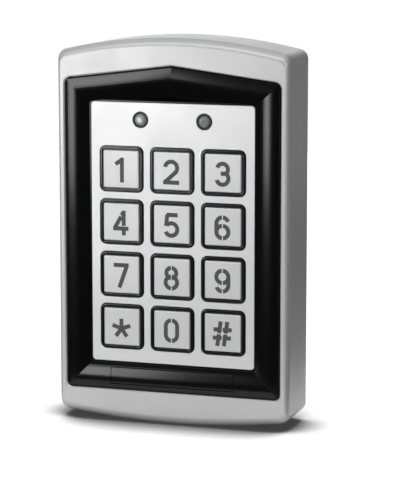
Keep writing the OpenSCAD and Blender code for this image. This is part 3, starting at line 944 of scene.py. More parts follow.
@dataclass
class Bezel:
    """The black moulding: a cushioned frame that follows the gabled opening, with a lip round the faceplate.

    Args:
        gap: Gap between the moulding and the opening.
        radius: Radius of the cushioned face.
        crest: How far the crest lies inside the outer edge.
        bevel: Bevel of the outer edge.
        facet: Width of one facet of the cushioned face.
        facets: How many facets the face has.
        lip: Width of the lip.
        lip_proud: How far the lip stands out of the faceplate.
        lip_root: How far the lip reaches into the floor.
        lip_corner: Outer corner radius of the lip.
        lip_edge: Radius of the lip's front edges.
        floor: Thickness of the floor behind the faceplate.
        seat: Gap round the faceplate.
        seat_corner: Corner radius of the faceplate's seat.
        insert_width: Width of the name insert.
        insert_height: Height of the name insert.
        insert_drop: How far the insert lies below the faceplate.
        insert_gap: Gap round the insert.
        insert_base: How far the insert's pocket stops in front of the floor.
        insert_edge: Radius of the insert's upper and lower front edges.
        opening: The housing's opening.
    """

    gap: float = 0.25 * MM
    radius: float = 15 * MM
    crest: float = 2.5 * MM
    bevel: float = 0.4 * MM
    facet: float = 0.62 * MM
    facets: int = 17
    lip: float = 0.65 * MM
    lip_proud: float = 0.1 * MM
    lip_root: float = 0.8 * MM
    lip_corner: float = 1.75 * MM
    lip_edge: float = 0.15 * MM
    floor: float = 1.8 * MM
    seat: float = 0.15 * MM
    seat_corner: float = 1.1 * MM
    insert_width: float = 40.4 * MM
    insert_height: float = 5.4 * MM
    insert_drop: float = 1.8 * MM
    insert_gap: float = 0.2 * MM
    insert_base: float = 0.5 * MM
    insert_edge: float = 0.12 * MM
    opening: Opening = field(default_factory=Opening)

    def __post_init__(self) -> None:
        """Reads the levels from the frame."""
        self.plate_low, self.plate_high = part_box("faceplate")
        self.crest_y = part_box("housing")[0].y
        self.lip_y = self.plate_low.y - self.lip_proud
        self.floor_y = self.plate_high.y

    def fall(self, inwards: float) -> float:
        """How far the cushioned face lies behind its crest, at a distance from the outer edge."""
        return self.radius - math.sqrt(self.radius**2 - (inwards - self.crest) ** 2)

    def cushion(self) -> Piece:
        """Makes the gabled cushion by insets that follow the arc, so that the corners are mitred.

        Returns:
            The cushion, with square corners.
        """
        rim_y = self.crest_y + self.fall(0) + self.bevel
        piece = self.opening.prism(self.gap, rim_y, self.floor_y + self.floor, sharp=True)
        last, level = 0.0, rim_y
        with editing(piece):
            pick_faces(piece, looks_front)
            for step in range(self.facets + 1):
                inwards = self.bevel + step * self.facet
                target = self.crest_y + self.fall(inwards)
                bpy.ops.mesh.inset(thickness=inwards - last, depth=level - target, use_even_offset=True)
                last, level = inwards, target
        return piece

    def plate_block(self, grow: float, front: float, back: float, corner: float) -> Piece:
        """Makes a block round the faceplate's outline.

        Args:
            grow: How much larger than the faceplate it is, on each side.
            front: Y of its front.
            back: Y of its back.
            corner: Radius of its corners.

        Returns:
            The block.
        """
        piece = block(
            (self.plate_low.x - grow, front, self.plate_low.z - grow),
            (self.plate_high.x + grow, back, self.plate_high.z + grow),
        )
        round_edges(piece, corner, 6, along_y)
        return piece

    def insert_block(self, gap: float, front: float, back: float) -> Piece:
        """Makes a block of the name insert's outline.

        Args:
            gap: How much smaller than its pocket it is, on each side.
            front: Y of its front.
            back: Y of its back.

        Returns:
            The block.
        """
        top = self.plate_low.z - self.insert_drop
        half = self.insert_width / 2 - gap
        return block((-half, front, top - self.insert_height + gap), (half, back, top - gap))

    def sharpen_mitres(self, piece: Piece) -> None:
        """Keeps the mitres crisp where two runs of the cushion meet.

        Args:
            piece: The moulding.
        """
        # An edge is on a mitre when both its ends are this near its line
        near = 0.02 * MM
        # The mitres end just in front of the floor
        front = self.floor_y - 0.05 * MM
        # The apex's mitre runs down the middle, from the peak to a little below the shoulders
        apex_reach = 8 * MM
        half = self.opening.width / 2 - self.gap
        apex = self.opening.apex - self.gap / math.cos(self.opening.slope())
        shoulder = apex - half * math.tan(self.opening.slope())
        mitre = (math.pi / 2 - self.opening.slope()) / 2
        corners = [(half, shoulder, -mitre), (half, self.opening.low + self.gap, math.pi / 4)]

        def off_mitre(point: Vector) -> float:
            """Distance of a point from the nearest mitre line.

            Args:
                point: A corner of the moulding.

            Returns:
                The distance, seen from the front.
            """
            gaps = [abs(point.x) if point.z > shoulder - apex_reach else 1.0]
            for x, z, angle in corners:
                across, up = x - abs(point.x), point.z - z
                gaps.append(abs(across * math.sin(angle) - up * math.cos(angle)))
            return min(gaps)

        def on_mitre(a: Vector, b: Vector) -> bool:
            """Tells if an edge of the cushioned face runs along a mitre."""
            return max(a.y, b.y) < front and max(off_mitre(a), off_mitre(b)) < near and not along_y(a, b)

        with editing(piece, "EDGE"):
            pick_edges(piece, on_mitre)
            bpy.ops.mesh.mark_sharp()

    def moulding(self, cushion: Piece, front: float) -> Piece:
        """Models the moulding out of the cushion.

        Args:
            cushion: The cushion, which becomes the moulding.
            front: Y in front of the whole reader, where the cutting tools start.

        Returns:
            The moulding.
        """
        back = self.floor_y + 2 * self.floor
        carve(cushion, self.opening.prism(self.gap, front, back), "INTERSECT")
        lip = self.plate_block(self.lip, self.lip_y, self.floor_y + self.lip_root, self.lip_corner)
        round_edges(lip, self.lip_edge, 2, at_depth(self.lip_y))
        carve(cushion, lip, "UNION")
        housing = Housing()
        seal_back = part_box("bezel_seal")[1].y
        flange = housing.form(housing.wall + self.gap, seal_back, self.floor_y + self.floor)
        carve(cushion, flange, "UNION")
        carve(cushion, self.plate_block(self.seat, front, self.floor_y, self.seat_corner))
        carve(cushion, self.insert_block(0, front, self.floor_y - self.insert_base))
        carve(cushion, window_tool(self.floor_y - PAST, back))
        self.sharpen_mitres(cushion)
        smooth(cushion)
        return cushion

    def insert(self, cushion: Piece, front: float) -> Piece:
        """Models the bare name insert out of the cushion, so that it follows the moulding's face.

        Args:
            cushion: A copy of the cushion, which becomes the insert.
            front: Y in front of the whole reader, where the cutting tool starts.

        Returns:
            The insert.
        """
        tool = self.insert_block(self.insert_gap, front, self.floor_y - self.insert_base)
        carve(cushion, tool, "INTERSECT")
        low, high = (Vector(corner) for corner in (cushion.bound_box[0], cushion.bound_box[6]))
        # The front edges are the long ones that lie this far in front of the back
        clear, long = 0.1 * MM, self.insert_width / 4

        def on_rim(a: Vector, b: Vector) -> bool:
            """Tells if an edge lies along the insert's upper or lower front edge."""
            level = abs(a.z - b.z) < CLOSE and abs(a.x - b.x) > long
            return level and a.y < high.y - clear and min(abs(a.z - low.z), abs(a.z - high.z)) < CLOSE

        round_edges(cushion, self.insert_edge, 2, on_rim)
        smooth(cushion)
        return cushion

    def build(self) -> list[Piece]:
        """Models the moulding and its bare insert, and dresses them.

        Returns:
            The moulding and the insert.
        """
        front = self.crest_y - 2 * PAST
        cushion = self.cushion()
        spare = copy_of(cushion)
        moulding, insert = self.moulding(cushion, front), self.insert(spare, front)
        dress(moulding, "bezel_moulding", BEZEL_ABS, replaces=("bezel",))
        dress(insert, "name_insert_bare", INSERT_ABS, replaces=("name_insert",))
        return [moulding, insert]


# ---------------------------------------------------------------- keypad


@dataclass
class Faceplate:
    """The silver plate with its windows for the keys and lamps.

    Args:
        corner: Corner radius of the plate.
        rim: Radius of the plate's outer edge.
        soft_edge: Radius of the drawn-in edges of the keys' windows.
        lamp_hole: Radius of a lamp's hole.
        margin: Width of the strip along the plate's sides that no window reaches.
        windows_low: Height below which there is no key's window.
        windows_top: Height above which there is no key's window.
        near: A point this near the plate's outline lies on it.
    """

    corner: float = 1.1 * MM
    rim: float = 0.2 * MM
    soft_edge: float = 0.7 * MM
    lamp_hole: float = 2.6 * MM
    margin: float = 1.5 * MM
    windows_low: float = -39 * MM
    windows_top: float = 30 * MM
    near: float = 0.01 * MM

    def __post_init__(self) -> None:
        """Reads the plate's size from the frame."""
        self.low, self.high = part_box("faceplate")

    def on_window(self, a: Vector, b: Vector) -> bool:
        """Tells if an edge lies round a key's window, in the plate's front."""
        inside = abs(a.x) < self.high.x - self.margin and self.windows_low < a.z < self.windows_top
        return inside and at_depth(self.low.y)(a, b)

    def on_rim(self, a: Vector, b: Vector) -> bool:
        """Tells if an edge lies along the plate's outline, in its front.

        Args:
            a: One end.
            b: The other end.

        Returns:
            True where both ends lie on a straight side or on a round corner.
        """
        for point in (a, b):
            across = min(point.x - self.low.x, self.high.x - point.x)
            up = min(point.z - self.low.z, self.high.z - point.z)
            if min(across, up) >= self.near and max(across, up) >= self.corner + self.near:
                return False
        return at_depth(self.low.y)(a, b)

    def build(self) -> list[Piece]:
        """Models the plate and dresses it.

        Returns:
            The faceplate.
        """
        plate = block(self.low, self.high)
        round_edges(plate, self.corner, 5, along_y)
        carve(plate, window_tool(self.low.y - PAST, self.high.y + PAST))
        for side in ("left", "right"):
            lamp = middle_of(f"led_{side}")
            centre = (lamp.x, (self.low.y + self.high.y) / 2, lamp.z)
            carve(plate, rod(centre, self.lamp_hole, 4 * PAST))
        round_edges(plate, self.soft_edge, 4, self.on_window)
        round_edges(plate, self.rim, 2, self.on_rim)
        smooth(plate)
        return [dress(plate, "faceplate_satin", FACEPLATE_SATIN, replaces=("faceplate",))]


@dataclass(frozen=True)
class Bar:
    """A straight stroke of a numeral, in millimetres from the numeral's middle.

    Args:
        x0: Place of its first end to the right.
        z0: Height of its first end.
        x1: Place of its second end to the right.
        z1: Height of its second end.
    """

    x0: float
    z0: float
    x1: float
    z1: float


@dataclass(frozen=True)
class Arc:
    """A round stroke of a numeral, in millimetres from the numeral's middle.

    Args:
        x: Place of its centre to the right.
        z: Height of its centre.
        r: Its radius.
        start: Angle of its first end above the right, in degrees.
        end: Angle of its second end, in degrees.
    """

    x: float
    z: float
    r: float
    start: float
    end: float


# Height of the highest stroke's middle above the numeral's middle, in millimetres
TALL = 3.22
# Half a stroke's width, in millimetres
END = 0.65
# Half a stencil gap, in degrees
GAP = 5.0


def loop(z: float, r: float) -> tuple[Arc, Arc]:
    """Left and right half of a closed loop about a height, with a stencil gap above and below."""
    return Arc(0, z, r, 90 + GAP, 270 - GAP), Arc(0, z, r, GAP - 90, 90 - GAP)


# The strokes of each numeral and sign
GLYPHS: dict[str, tuple[Bar | Arc, ...]] = {
    "1": (Bar(0.45, -TALL - END, 0.45, TALL + END), Bar(0.4, TALL - 0.1, -1.7, TALL - 1.4)),
    "2": (Arc(0, 1.27, 1.95, -45, 172), Bar(1.5, 0.02, -2.0, -TALL + 0.1), Bar(-2.6, -TALL, 2.6, -TALL)),
    "3": (Arc(0, 1.5, 1.72, -50, 165), Arc(0, -1.32, 1.9, -165, 50), Bar(-0.55, 0.16, 1.15, 0.16)),
    "4": (
        Bar(0.95, -0.88, 0.95, TALL + END),
        Bar(0.95, -TALL - END, 0.95, -1.3),
        Bar(0.75, TALL + 0.1, 0.32, 2.35),
        Bar(0.13, 2.0, -2.0, -1.6),
        Bar(-2.55, -1.75, 2.5, -1.75),
    ),
    "5": (Bar(-1.55, TALL, 2.1, TALL), Bar(-1.3, TALL, -1.68, -0.25), Arc(0, -1.28, 1.94, -158, 140)),
    "6": (
        *loop(-1.3, 1.92),
        Arc(0, 1.3, 1.92, 20, 90 - GAP),
        Arc(0, 1.3, 1.92, 90 + GAP, 180),
        Bar(-1.92, 1.35, -1.92, -1.35),
    ),
    "7": (Bar(-2.45, TALL, 2.5, TALL), Bar(1.95, TALL, -0.6, -TALL - END)),
    "8": (*loop(1.62, 1.6), *loop(-1.35, 1.87)),
    "9": (
        *loop(1.3, 1.92),
        Arc(0, -1.3, 1.92, 200, 270 - GAP),
        Arc(0, -1.3, 1.92, 270 + GAP, 360),
        Bar(1.92, 1.35, 1.92, -1.35),
    ),
    "star": tuple(
        Bar(0, -0.3, 3.1 * math.sin(math.radians(turn)), 3.1 * math.cos(math.radians(turn)) - 0.3)
        for turn in range(0, 360, 72)
    ),
    "0": (
        Arc(0, 1.37, 1.85, 0, 90 - GAP),
        Arc(0, 1.37, 1.85, 90 + GAP, 180),
        Arc(0, -1.37, 1.85, 180, 270 - GAP),
        Arc(0, -1.37, 1.85, 270 + GAP, 360),
        Bar(-1.85, 1.4, -1.85, -1.4),
        Bar(1.85, 1.4, 1.85, -1.4),
    ),
    "hash": (
        Bar(-0.5, TALL + END, -1.04, 0.15),
        Bar(-1.08, -0.15, -1.62, -TALL - END),
        Bar(1.62, TALL + END, 1.08, 0.15),
        Bar(1.04, -0.15, 0.5, -TALL - END),
        Bar(-2.8, 1.3, -0.15, 1.3),
        Bar(0.15, 1.3, 3.05, 1.3),
        Bar(-3.05, -1.3, -0.15, -1.3),
        Bar(0.15, -1.3, 2.8, -1.3),
    ),
}


@dataclass
class Numeral:
    """A filled numeral on a cap: straight and round strokes that leave stencil gaps where its loops close.

    Args:
        stroke: Width of a stroke.
        thickness: How deep the fill is.
        proud: How far it stands out of the cap.
        stagger: How much each stroke stands out of the one before, where they cross.
        facet: Turn of one facet of a round stroke, in degrees.
        shift: How far it sits off the cap's middle, along X and Z.
    """

    stroke: float = 2 * END * MM
    thickness: float = 0.12 * MM
    proud: float = 0.012 * MM
    stagger: float = 0.001 * MM
    facet: float = 7.0
    shift: tuple[float, float] = (-0.1 * MM, -0.25 * MM)

    def straight(self, bar: Bar, centre: Vector) -> Piece:
        """Makes a straight stroke.

        Args:
            bar: The stroke.
            centre: The numeral's middle.

        Returns:
            The stroke's solid.
        """
        a, b = Vector((bar.x0 * MM, 0, bar.z0 * MM)), Vector((bar.x1 * MM, 0, bar.z1 * MM))
        run = b - a
        clear_selection()
        bpy.ops.mesh.primitive_cube_add(
            size=1,
            location=centre + (a + b) / 2,
            rotation=(0, math.atan2(run.x, run.z), 0),
            scale=(self.stroke, self.thickness, run.length),
        )
        return fresh()

    def curved(self, arc: Arc, centre: Vector) -> Piece:
        """Makes a round stroke by spinning its section about its centre.

        Args:
            arc: The stroke.
            centre: The numeral's middle.

        Returns:
            The stroke's solid.
        """
        start, end = math.radians(arc.start), math.radians(arc.end)
        middle = centre + Vector((arc.x * MM, 0, arc.z * MM))
        away = Vector((math.cos(start), 0, math.sin(start))) * arc.r * MM
        clear_selection()
        bpy.ops.mesh.primitive_plane_add(size=1, location=middle + away, rotation=(0, -start, 0))
        piece = fresh()
        with editing(piece):
            bpy.ops.mesh.select_all(action="SELECT")
            bpy.ops.transform.resize(
                value=(self.stroke, self.thickness, self.stroke), center_override=tuple(middle + away)
            )
            steps = max(6, int((arc.end - arc.start) / self.facet))
            bpy.ops.mesh.spin(steps=steps, angle=end - start, center=tuple(middle), axis=(0, 1, 0))
            bpy.ops.mesh.select_all(action="SELECT")
            bpy.ops.mesh.normals_make_consistent(inside=False)
        return piece

    def build(self, name: str, centre: Vector, body: str) -> Piece:
        """Models one numeral and dresses it.

        Args:
            name: The key's name.
            centre: Middle of the cap's front.
            body: The key's CAD body.

        Returns:
            The numeral.
        """
        middle = centre + Vector((self.shift[0], self.thickness / 2 - self.proud, self.shift[1]))
        strokes = []
        for stroke in GLYPHS[name]:
            place = middle - Vector((0, len(strokes) * self.stagger, 0))
            draw = self.straight if isinstance(stroke, Bar) else self.curved
            strokes.append(draw(stroke, place))
        piece = joined(strokes)
        smooth(piece)
        return dress(piece, f"numeral_{name}", NUMERAL_PAINT, body)


@dataclass
class Keypad:
    """Twelve metal caps in beaded silicone collars, over a silicone sheet.

    Args:
        bevel: Width of the bevel round a cap's front.
        corner: Corner radius of a cap.
        cap_depth: Thickness of a cap.
        stem: Radius of a cap's stem.
        stem_rim: Width of the rim round the stem's end.
        slide: Gap round a cap and round a collar.
        bead: Radius of a collar's bead.
        ledge: How far the ledge round the bead lies below the faceplate's front.
        bead_proud: How far a bead stands out of the faceplate.
        bead_round: Share of the bead's radius that is rounded off.
        sheet_front: Y of the sheet's front, where the collars stand.
        sheet_back: Y of the sheet's back.
        sheet_corner: Corner radius of the sheet.
        sheet_hole: Radius of the sheet's hole behind each key.
    """

    bevel: float = 0.45 * MM
    corner: float = 0.4 * MM
    cap_depth: float = 2 * MM
    stem: float = 3.0 * MM
    stem_rim: float = 0.4 * MM
    slide: float = 0.15 * MM
    bead: float = 0.34 * MM
    ledge: float = 0.15 * MM
    bead_proud: float = 0.35 * MM
    bead_round: float = 0.96
    sheet_front: float = -16.9 * MM
    sheet_back: float = -15.95 * MM
    sheet_corner: float = 1 * MM
    sheet_hole: float = 5.5 * MM

    def __post_init__(self) -> None:
        """Reads the first key and the faceplate's front from the frame."""
        self.low, self.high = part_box("key_1")
        self.plate_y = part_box("faceplate")[0].y

    def cap(self) -> Piece:
        """Makes the first key's cap and stem.

        Returns:
            The cap, at the first key's place.
        """
        back = self.low.y + self.cap_depth
        piece = block(self.low, (self.high.x, back, self.high.z))
        round_edges(piece, self.corner, 3, along_y)
        round_edges(piece, self.bevel, 3, at_depth(self.low.y))
        centre = (self.low + self.high) / 2
        stem = rod((centre.x, (back + self.high.y) / 2, centre.z), self.stem, self.high.y - back, sides=40)
        with editing(stem):
            pick_faces(stem, looks_back)
            bpy.ops.mesh.inset(thickness=self.stem_rim, depth=0)
        piece = joined([piece, stem])
        smooth(piece)
        return piece

    def collar(self) -> Piece:
        """Makes the first key's collar: a square sleeve with a round bead.

        Returns:
            The collar, at the first key's place.
        """
        centre = (self.low + self.high) / 2
        half = WINDOW / 2 - self.slide
        width = half - (self.high.x - self.low.x) / 2 - self.slide
        low = (centre.x - half, self.plate_y + self.ledge, centre.z - half)
        piece = block(low, (centre.x + half, self.sheet_front, centre.z + half))
        round_edges(piece, WINDOW_CORNER - self.slide, 6, along_y)
        with editing(piece):
            pick_faces(piece, looks_along_y)
            bpy.ops.mesh.inset(thickness=width, depth=0)
            bpy.ops.mesh.bridge_edge_loops()
            pick_faces(piece, looks_front)
            bpy.ops.mesh.inset(thickness=width / 2 - self.bead, depth=0)
            rise = (0, -self.ledge - self.bead_proud, 0)
            bpy.ops.mesh.extrude_region_move(TRANSFORM_OT_translate={"value": rise})
        round_edges(piece, self.bead * self.bead_round, 4, at_depth(self.plate_y - self.bead_proud))
        smooth(piece, 40)
        return piece

    def sheet(self) -> Piece:
        """Makes the silicone sheet behind the collars, with a hole behind each key.

        Returns:
            The sheet.
        """
        low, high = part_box("keypad_mat")
        piece = block((low.x, self.sheet_front, low.z), (high.x, self.sheet_back, high.z))
        round_edges(piece, self.sheet_corner, 3, along_y)
        middle = (self.sheet_front + self.sheet_back) / 2
        for name in KEY_NAMES:
            centre = middle_of(f"key_{name}")
            carve(piece, rod((centre.x, middle, centre.z), self.sheet_hole, 4 * PAST, sides=32))
        smooth(piece)
        return piece

    def build(self) -> list[Piece]:
        """Models the keys, numerals, collars and sheet, and dresses them.

        Returns:
            The pieces.
        """
        cap, collar, numeral, home = self.cap(), self.collar(), Numeral(), middle_of("key_1")
        made, collars = [], []
        for name in KEY_NAMES:
            node, body = f"key_{name}", f"key_{name}_body"
            centre = middle_of(node)
            shift = centre - home
            made.append(dress(copy_of(cap, shift), f"cap_{name}", KEY_CHROME, body, (node,)))
            made.append(numeral.build(name, Vector((centre.x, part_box(node)[0].y, centre.z)), body))
            collars.append(copy_of(collar, shift))
        sheet = self.sheet()
        dress(sheet, "keypad_sheet", SILICONE, replaces=("keypad_mat",))
        for name, piece in zip(KEY_NAMES, collars):
            made.append(dress(piece, f"collar_{name}", SILICONE))
        for pattern in (cap, collar):
            bpy.data.objects.remove(pattern, do_unlink=True)
        return [*made, sheet]


@dataclass
class Lamps:
    """Two indicator lamps in black holders.

    Args:
        radius: Radius of a lamp's body.
        dome: Share of that radius over which the front is rounded.
        lamp_back: Y of a lamp's back.
        holder: Outer radius of a holder.
        inner: Inner radius of a holder's ring.
        ring_edge: Radius of the ring's front edges.
        ring_back: Y of a ring's back.
    """

    radius: float = 1.95 * MM
    dome: float = 0.6
    lamp_back: float = -15 * MM
    holder: float = 2.5 * MM
    inner: float = 2.0 * MM
    ring_edge: float = 0.2 * MM
    ring_back: float = -16.95 * MM

    def lens(self, side: str) -> Piece:
        """Makes one domed lamp body.

        Args:
            side: left or right.

        Returns:
            The lamp.
        """
        centre, front = middle_of(f"led_{side}"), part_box(f"led_{side}")[0].y
        middle = (centre.x, (front + self.lamp_back) / 2, centre.z)
        piece = rod(middle, self.radius, self.lamp_back - front)
        round_edges(piece, self.radius * self.dome, 12, at_depth(front))
        smooth(piece, 50)
        return piece

    def ring(self, side: str) -> Piece:
        """Makes one holder's ring.

        Args:
            side: left or right.

        Returns:
            The ring.
        """
        centre, front = middle_of(f"led_{side}"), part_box("led_holders")[0].y
        middle = (centre.x, (front + self.ring_back) / 2, centre.z)
        piece = rod(middle, self.holder, self.ring_back - front)
        with editing(piece):
            pick_faces(piece, looks_along_y)
            bpy.ops.mesh.inset(thickness=self.holder - self.inner, depth=0)
            bpy.ops.mesh.bridge_edge_loops()
        round_edges(piece, self.ring_edge, 3, at_depth(front))
        smooth(piece)
        return piece

    def build(self) -> list[Piece]:
        """Models the lamps and holders, and dresses them.

        Returns:
            The pieces.
        """
        made = []
        # The right lamp gets the darker copy of the epoxy, as painted shade
        for side, resin in (("left", LENS_EPOXY), ("right", SHADED_EPOXY)):
            made.append(dress(self.lens(side), f"lamp_{side}", resin, replaces=(f"led_{side}",)))
        rings = joined([self.ring("left"), self.ring("right")])
        made.append(dress(rings, "lamp_rings", NYLON, replaces=("led_holders",)))
        return made


# ---------------------------------------------------------------- domes, back and boards


@dataclass
class Domes:
    """The silicone domes under the keys, which flatten as their keys go in.

    Args:
        edge: Radius of the domes' moulded edges.
    """

    edge: float = 0.06 * MM

    def build(self) -> list[Piece]:
        """Softens the domes' CAD forms and dresses them.

        Returns:
            The twelve domes.
        """
        made = []
        for name in KEY_NAMES:
            piece = softened(f"dome_{name}", self.edge)
            smooth(piece)
            dress(piece, f"soft_dome_{name}", GREY_SILICONE, replaces=(f"dome_{name}",))
            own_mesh(piece)
            made.append(piece)
        return made


@dataclass
class WallSide:
    """The wall plate, grommet and screws, which show from behind and below.

    Args:
        plate_edge: Radius of the sheared edges of the wall plate.
        screw_edge: Radius of the screws' edges.
    """

    plate_edge: float = 0.25 * MM
    screw_edge: float = 0.12 * MM

    def build(self) -> list[Piece]:
        """Softens the CAD forms' edges and dresses them.

        Returns:
            The pieces.
        """
        made = []
        for node, name, width, finish, slot in (
            ("back_plate", "wall_plate", self.plate_edge, ZINC_PLATE, "plate_steel"),
            ("cable_grommet", "grommet", self.plate_edge, RUBBER, "seal_rubber"),
            ("security_screw", "bottom_screw", self.screw_edge, SCREW_STEEL, "screw_steel"),
        ):
            piece = softened(node, width)
            smooth(piece)
            made.append(dress(piece, name, finish, replaces=(node,)))
        return made


@dataclass
class Insides:
    """The seal, board, parts and screws inside, which keep their CAD forms.

    Args:
        finishes: The finish of each CAD node.
    """

    finishes: dict[str, Finish] = field(
        default_factory=lambda: {
            "bezel_seal": RUBBER,
            "contact_pads": GOLD_PLATE,
            "main_board": BOARD_MASK,
            "antenna_coil": COPPER,
            "controller_chip": MOULDED_EPOXY,
            "buzzer": MOULDED_EPOXY,
            "relay": RELAY_CASE,
            "terminal_block": TERMINAL_NYLON,
            "capacitors": CAN_SLEEVE,
            "tamper_sensor": CELL_COATING,
            "board_screws": SCREW_STEEL,
            "bezel_screws": SCREW_STEEL,
        }
    )

    def build(self) -> list[Piece]:
        """Gives each CAD node that stays its finish.

        Returns:
            The nodes.
        """
        made = []
        for name, finish in self.finishes.items():
            node = frame["nodes"][name]
            node.data.materials.clear()
            node.data.materials.append(finish.material())
            made.append(node)
        return made


# ---------------------------------------------------------------- studio


# Level of the floor that the reader stands on
FLOOR = CAD_BOX[0].z


@dataclass(frozen=True)
class SoftBox:
    """A soft box that looks at the reader.

    Args:
        name: The lamp's name.
        azimuth: Its turn to the right of the front, in degrees.
        elevation: Its height above level, in degrees.
        distance: Its distance.
        size: Its width and height.
        power: Its power in watts.
    """

    name: str
    azimuth: float
    elevation: float
    distance: float
    size: tuple[float, float]
    power: float

    def hang(self) -> None:
        """Adds the lamp, turned towards the reader."""
        a, e = math.radians(self.azimuth), math.radians(self.elevation)
        towards = Vector((math.sin(a) * math.cos(e), -math.cos(a) * math.cos(e), math.sin(e)))
        clear_selection()
        bpy.ops.object.light_add(type="AREA", location=towards * self.distance)
        lamp = bpy.context.object
        lamp.name = self.name
        lamp.data.shape = "RECTANGLE"
        lamp.data.size, lamp.data.size_y = self.size
        lamp.data.energy = self.power
        lamp.rotation_euler = (-towards).to_track_quat("-Z", "Y").to_euler()


@dataclass(frozen=True)
class Cloth:
    """A black velvet cloth that shows in the reader's gloss only, where it keeps the room's white out.

    Args:
        name: The cloth's name.
        low: Its lowest corner.
        high: Its highest corner.
        glow: Strength of the grey that it shows, which stands for a cloth in a white room.
    """

    name: str
    low: tuple[float, float, float]
    high: tuple[float, float, float]
    glow: float = 0.05

    def hang(self) -> None:
        """Adds the cloth."""
        cloth = block(self.low, self.high)
        cloth.name = self.name
        velvet = bpy.data.materials.get("black_velvet") or bpy.data.materials.new("black_velvet")
        velvet.use_nodes = True
        shader = velvet.node_tree.nodes["Principled BSDF"]
        shader.inputs["Base Color"].default_value = linear("#0A0A0A")
        shader.inputs["Roughness"].default_value = 1.0
        shader.inputs["Specular IOR Level"].default_value = 0.0
        shader.inputs["Emission Color"].default_value = WHITE
        shader.inputs["Emission Strength"].default_value = self.glow
        cloth.data.materials.append(velvet)
        cloth.visible_camera = cloth.visible_diffuse = False
        cloth.visible_shadow = cloth.visible_transmission = False


SOFT_BOXES = (
    SoftBox("soft_window", -26, 3, 0.6, (0.15, 0.24), 1.15),
    SoftBox("upper_window", -6, 46, 0.7, (0.7, 0.26), 2.0),
    SoftBox("top_window", 0, 72, 0.7, (0.5, 0.1), 0.05),
    SoftBox("side_strip", 38, 10, 0.6, (0.05, 0.4), 0.45),
    SoftBox("rear_window", 200, 2, 0.7, (0.5, 0.4), 0.5),
)
# The cloths on the floor reach from a little under it to just above it
UNDER, OVER = FLOOR - 4 * MM, FLOOR + 0.2 * MM
CLOTHS = (
    Cloth("ceiling_cloth", (-1.2, -1.6, 1.4), (1.2, -0.6, 1.42)),
    Cloth("floor_cloth", (-2.0, -1.6, UNDER), (2.0, -0.07, OVER)),
    Cloth("left_floor_cloth", (-2.0, -0.07, UNDER), (-0.06, 0.05, OVER)),
    Cloth("right_floor_cloth", (0.06, -0.07, UNDER), (2.0, 0.5, OVER)),
    Cloth("front_cloth", (-2.0, -1.62, FLOOR), (2.0, -1.6, 2.0)),
    Cloth("right_cloth", (1.2, -1.6, FLOOR), (1.22, 0.5, 2.0)),
    Cloth("left_cloth", (-1.22, -1.6, FLOOR), (-1.2, 0.3, 2.0)),
    Cloth("rear_right_cloth", (0.12, 0.48, FLOOR), (1.2, 0.5, 0.6)),
)


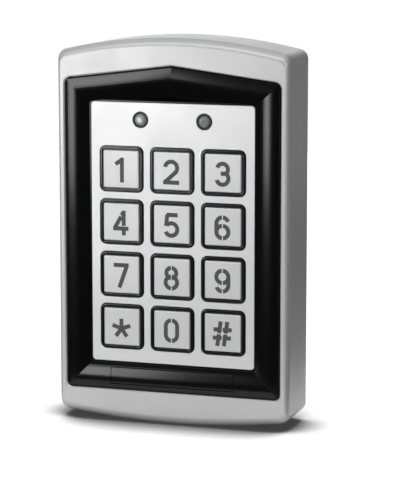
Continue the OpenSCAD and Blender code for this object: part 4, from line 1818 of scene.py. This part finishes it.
@dataclass
class Studio:
    """A white room and floor, soft boxes round the reader, cloths that keep its gloss dark, and the camera.

    Args:
        floor_size: Side of the floor.
        fill: Strength of the room's light on the reader.
        floor_lift: Own light of the floor where it is seen, which keeps it white.
        shadow_reach: How far the painted contact shadow spreads round the reader.
        shadow_start: Open share of the sky below which the shadow is at its darkest.
        shadow_end: Open share of the sky above which there is no shadow.
        shadow_depth: Brightness of the floor where the shadow is at its darkest.
        lens: Focal length over the sensor.
        sensor: Width of the sensor, in millimetres.
        place: The camera's place.
        azimuth: Turn of the camera to the object's right, in degrees.
        elevation: Height of the camera's view above level, in degrees.
        clip: Nearest and farthest distance that the camera sees.
    """

    floor_size: float = 6.0
    fill: float = 0.1
    floor_lift: float = 0.9
    shadow_reach: float = 32 * MM
    shadow_start: float = 0.42
    shadow_end: float = 0.97
    shadow_depth: float = 0.05
    lens: float = 166.8
    sensor: float = 36
    place: tuple[float, float, float] = (218.2 * MM, -660.8 * MM, 105.2 * MM)
    azimuth: float = 18.08
    elevation: float = 8.99
    clip: tuple[float, float] = (0.05, 50)

    def seen_share(self, tree: Tree) -> Socket:
        """Adds the nodes that are 1 for the camera's own, mirrored and transmitted rays.

        Args:
            tree: The node tree.

        Returns:
            The socket that holds the share.
        """
        path = add_node(tree, "ShaderNodeLightPath").outputs
        seen = path["Is Camera Ray"]
        for name in ("Is Glossy Ray", "Is Transmission Ray"):
            seen = add_node(tree, "ShaderNodeMath", {0: seen, 1: path[name]}, operation="MAXIMUM").outputs[0]
        return seen

    def floor_paint(self) -> bpy.types.Material:
        """Makes the floor's matt white paint, with a contact shadow painted into its colour and own light
        round the reader's foot.

        Returns:
            The material.
        """
        paint = bpy.data.materials.new("matt_white_floor")
        paint.use_nodes = True
        tree = paint.node_tree
        shader = tree.nodes["Principled BSDF"]
        shader.inputs["Roughness"].default_value = 0.9
        shader.inputs["Specular IOR Level"].default_value = 0.0
        # Painted shadow: where the reader hides the sky, the floor's colour and its own light are darkened
        near = add_node(tree, "ShaderNodeAmbientOcclusion", Distance=self.shadow_reach).outputs["AO"]
        shade = add_node(tree, "ShaderNodeMapRange", {"Value": near}, interpolation_type="SMOOTHSTEP")
        shade.inputs["From Min"].default_value = self.shadow_start
        shade.inputs["From Max"].default_value = self.shadow_end
        shade.inputs["To Min"].default_value = self.shadow_depth
        light = shade.outputs[0]
        shadow_tint = add_node(tree, "ShaderNodeCombineColor", {0: light, 1: light, 2: light}).outputs[0]
        tree.links.new(shadow_tint, shader.inputs["Base Color"])
        lift = add_node(tree, "ShaderNodeMath", {0: self.seen_share(tree), 1: light}, operation="MULTIPLY")
        lift = add_node(tree, "ShaderNodeMath", {0: lift.outputs[0]}, operation="MULTIPLY")
        lift.inputs[1].default_value = self.floor_lift
        shader.inputs["Emission Color"].default_value = WHITE
        tree.links.new(lift.outputs[0], shader.inputs["Emission Strength"])
        return paint

    def floor(self) -> None:
        """Lays the floor just under the reader."""
        clear_selection()
        bpy.ops.mesh.primitive_plane_add(size=self.floor_size, location=(0, 0, FLOOR))
        piece = fresh()
        piece.name = "floor"
        piece.data.materials.append(self.floor_paint())

    def room(self) -> None:
        """Makes the room's light: white wherever it is seen, and dimmer where it only fills the shadows."""
        world = bpy.data.worlds.new("studio_room")
        world.use_nodes = True
        bpy.context.scene.world = world
        tree = world.node_tree
        glow = add_node(tree, "ShaderNodeMapRange", {"Value": self.seen_share(tree)})
        glow.inputs["To Min"].default_value = self.fill
        glow.inputs["To Max"].default_value = 1.0
        tree.links.new(glow.outputs[0], tree.nodes["Background"].inputs["Strength"])
        tree.nodes["Background"].inputs["Color"].default_value = WHITE

    def camera(self) -> None:
        """Sets up the camera."""
        clear_selection()
        turn = (math.radians(90 - self.elevation), 0, math.radians(self.azimuth))
        bpy.ops.object.camera_add(location=self.place, rotation=turn)
        eye = bpy.context.object
        eye.data.sensor_width = self.sensor
        eye.data.lens = self.lens
        eye.data.clip_start, eye.data.clip_end = self.clip
        bpy.context.scene.camera = eye

    def build(self) -> None:
        """Sets up the whole studio."""
        self.floor()
        self.room()
        for item in (*SOFT_BOXES, *CLOTHS):
            item.hang()
        self.camera()
        bpy.context.scene.view_settings.view_transform = "Standard"


# ---------------------------------------------------------------- the whole reader


def main() -> None:
    """Builds the reader's pieces and the studio, in order."""
    logging.basicConfig(level=logging.INFO, format="%(name)s: %(message)s")
    for part in (Housing(), Bezel(), Faceplate(), Keypad(), Domes(), Lamps(), WallSide(), Insides()):
        for piece in part.build():
            log.info("%s: %d faces", piece.name, len(piece.data.polygons))
    Studio().build()


if __name__ == "__main__":
    main()
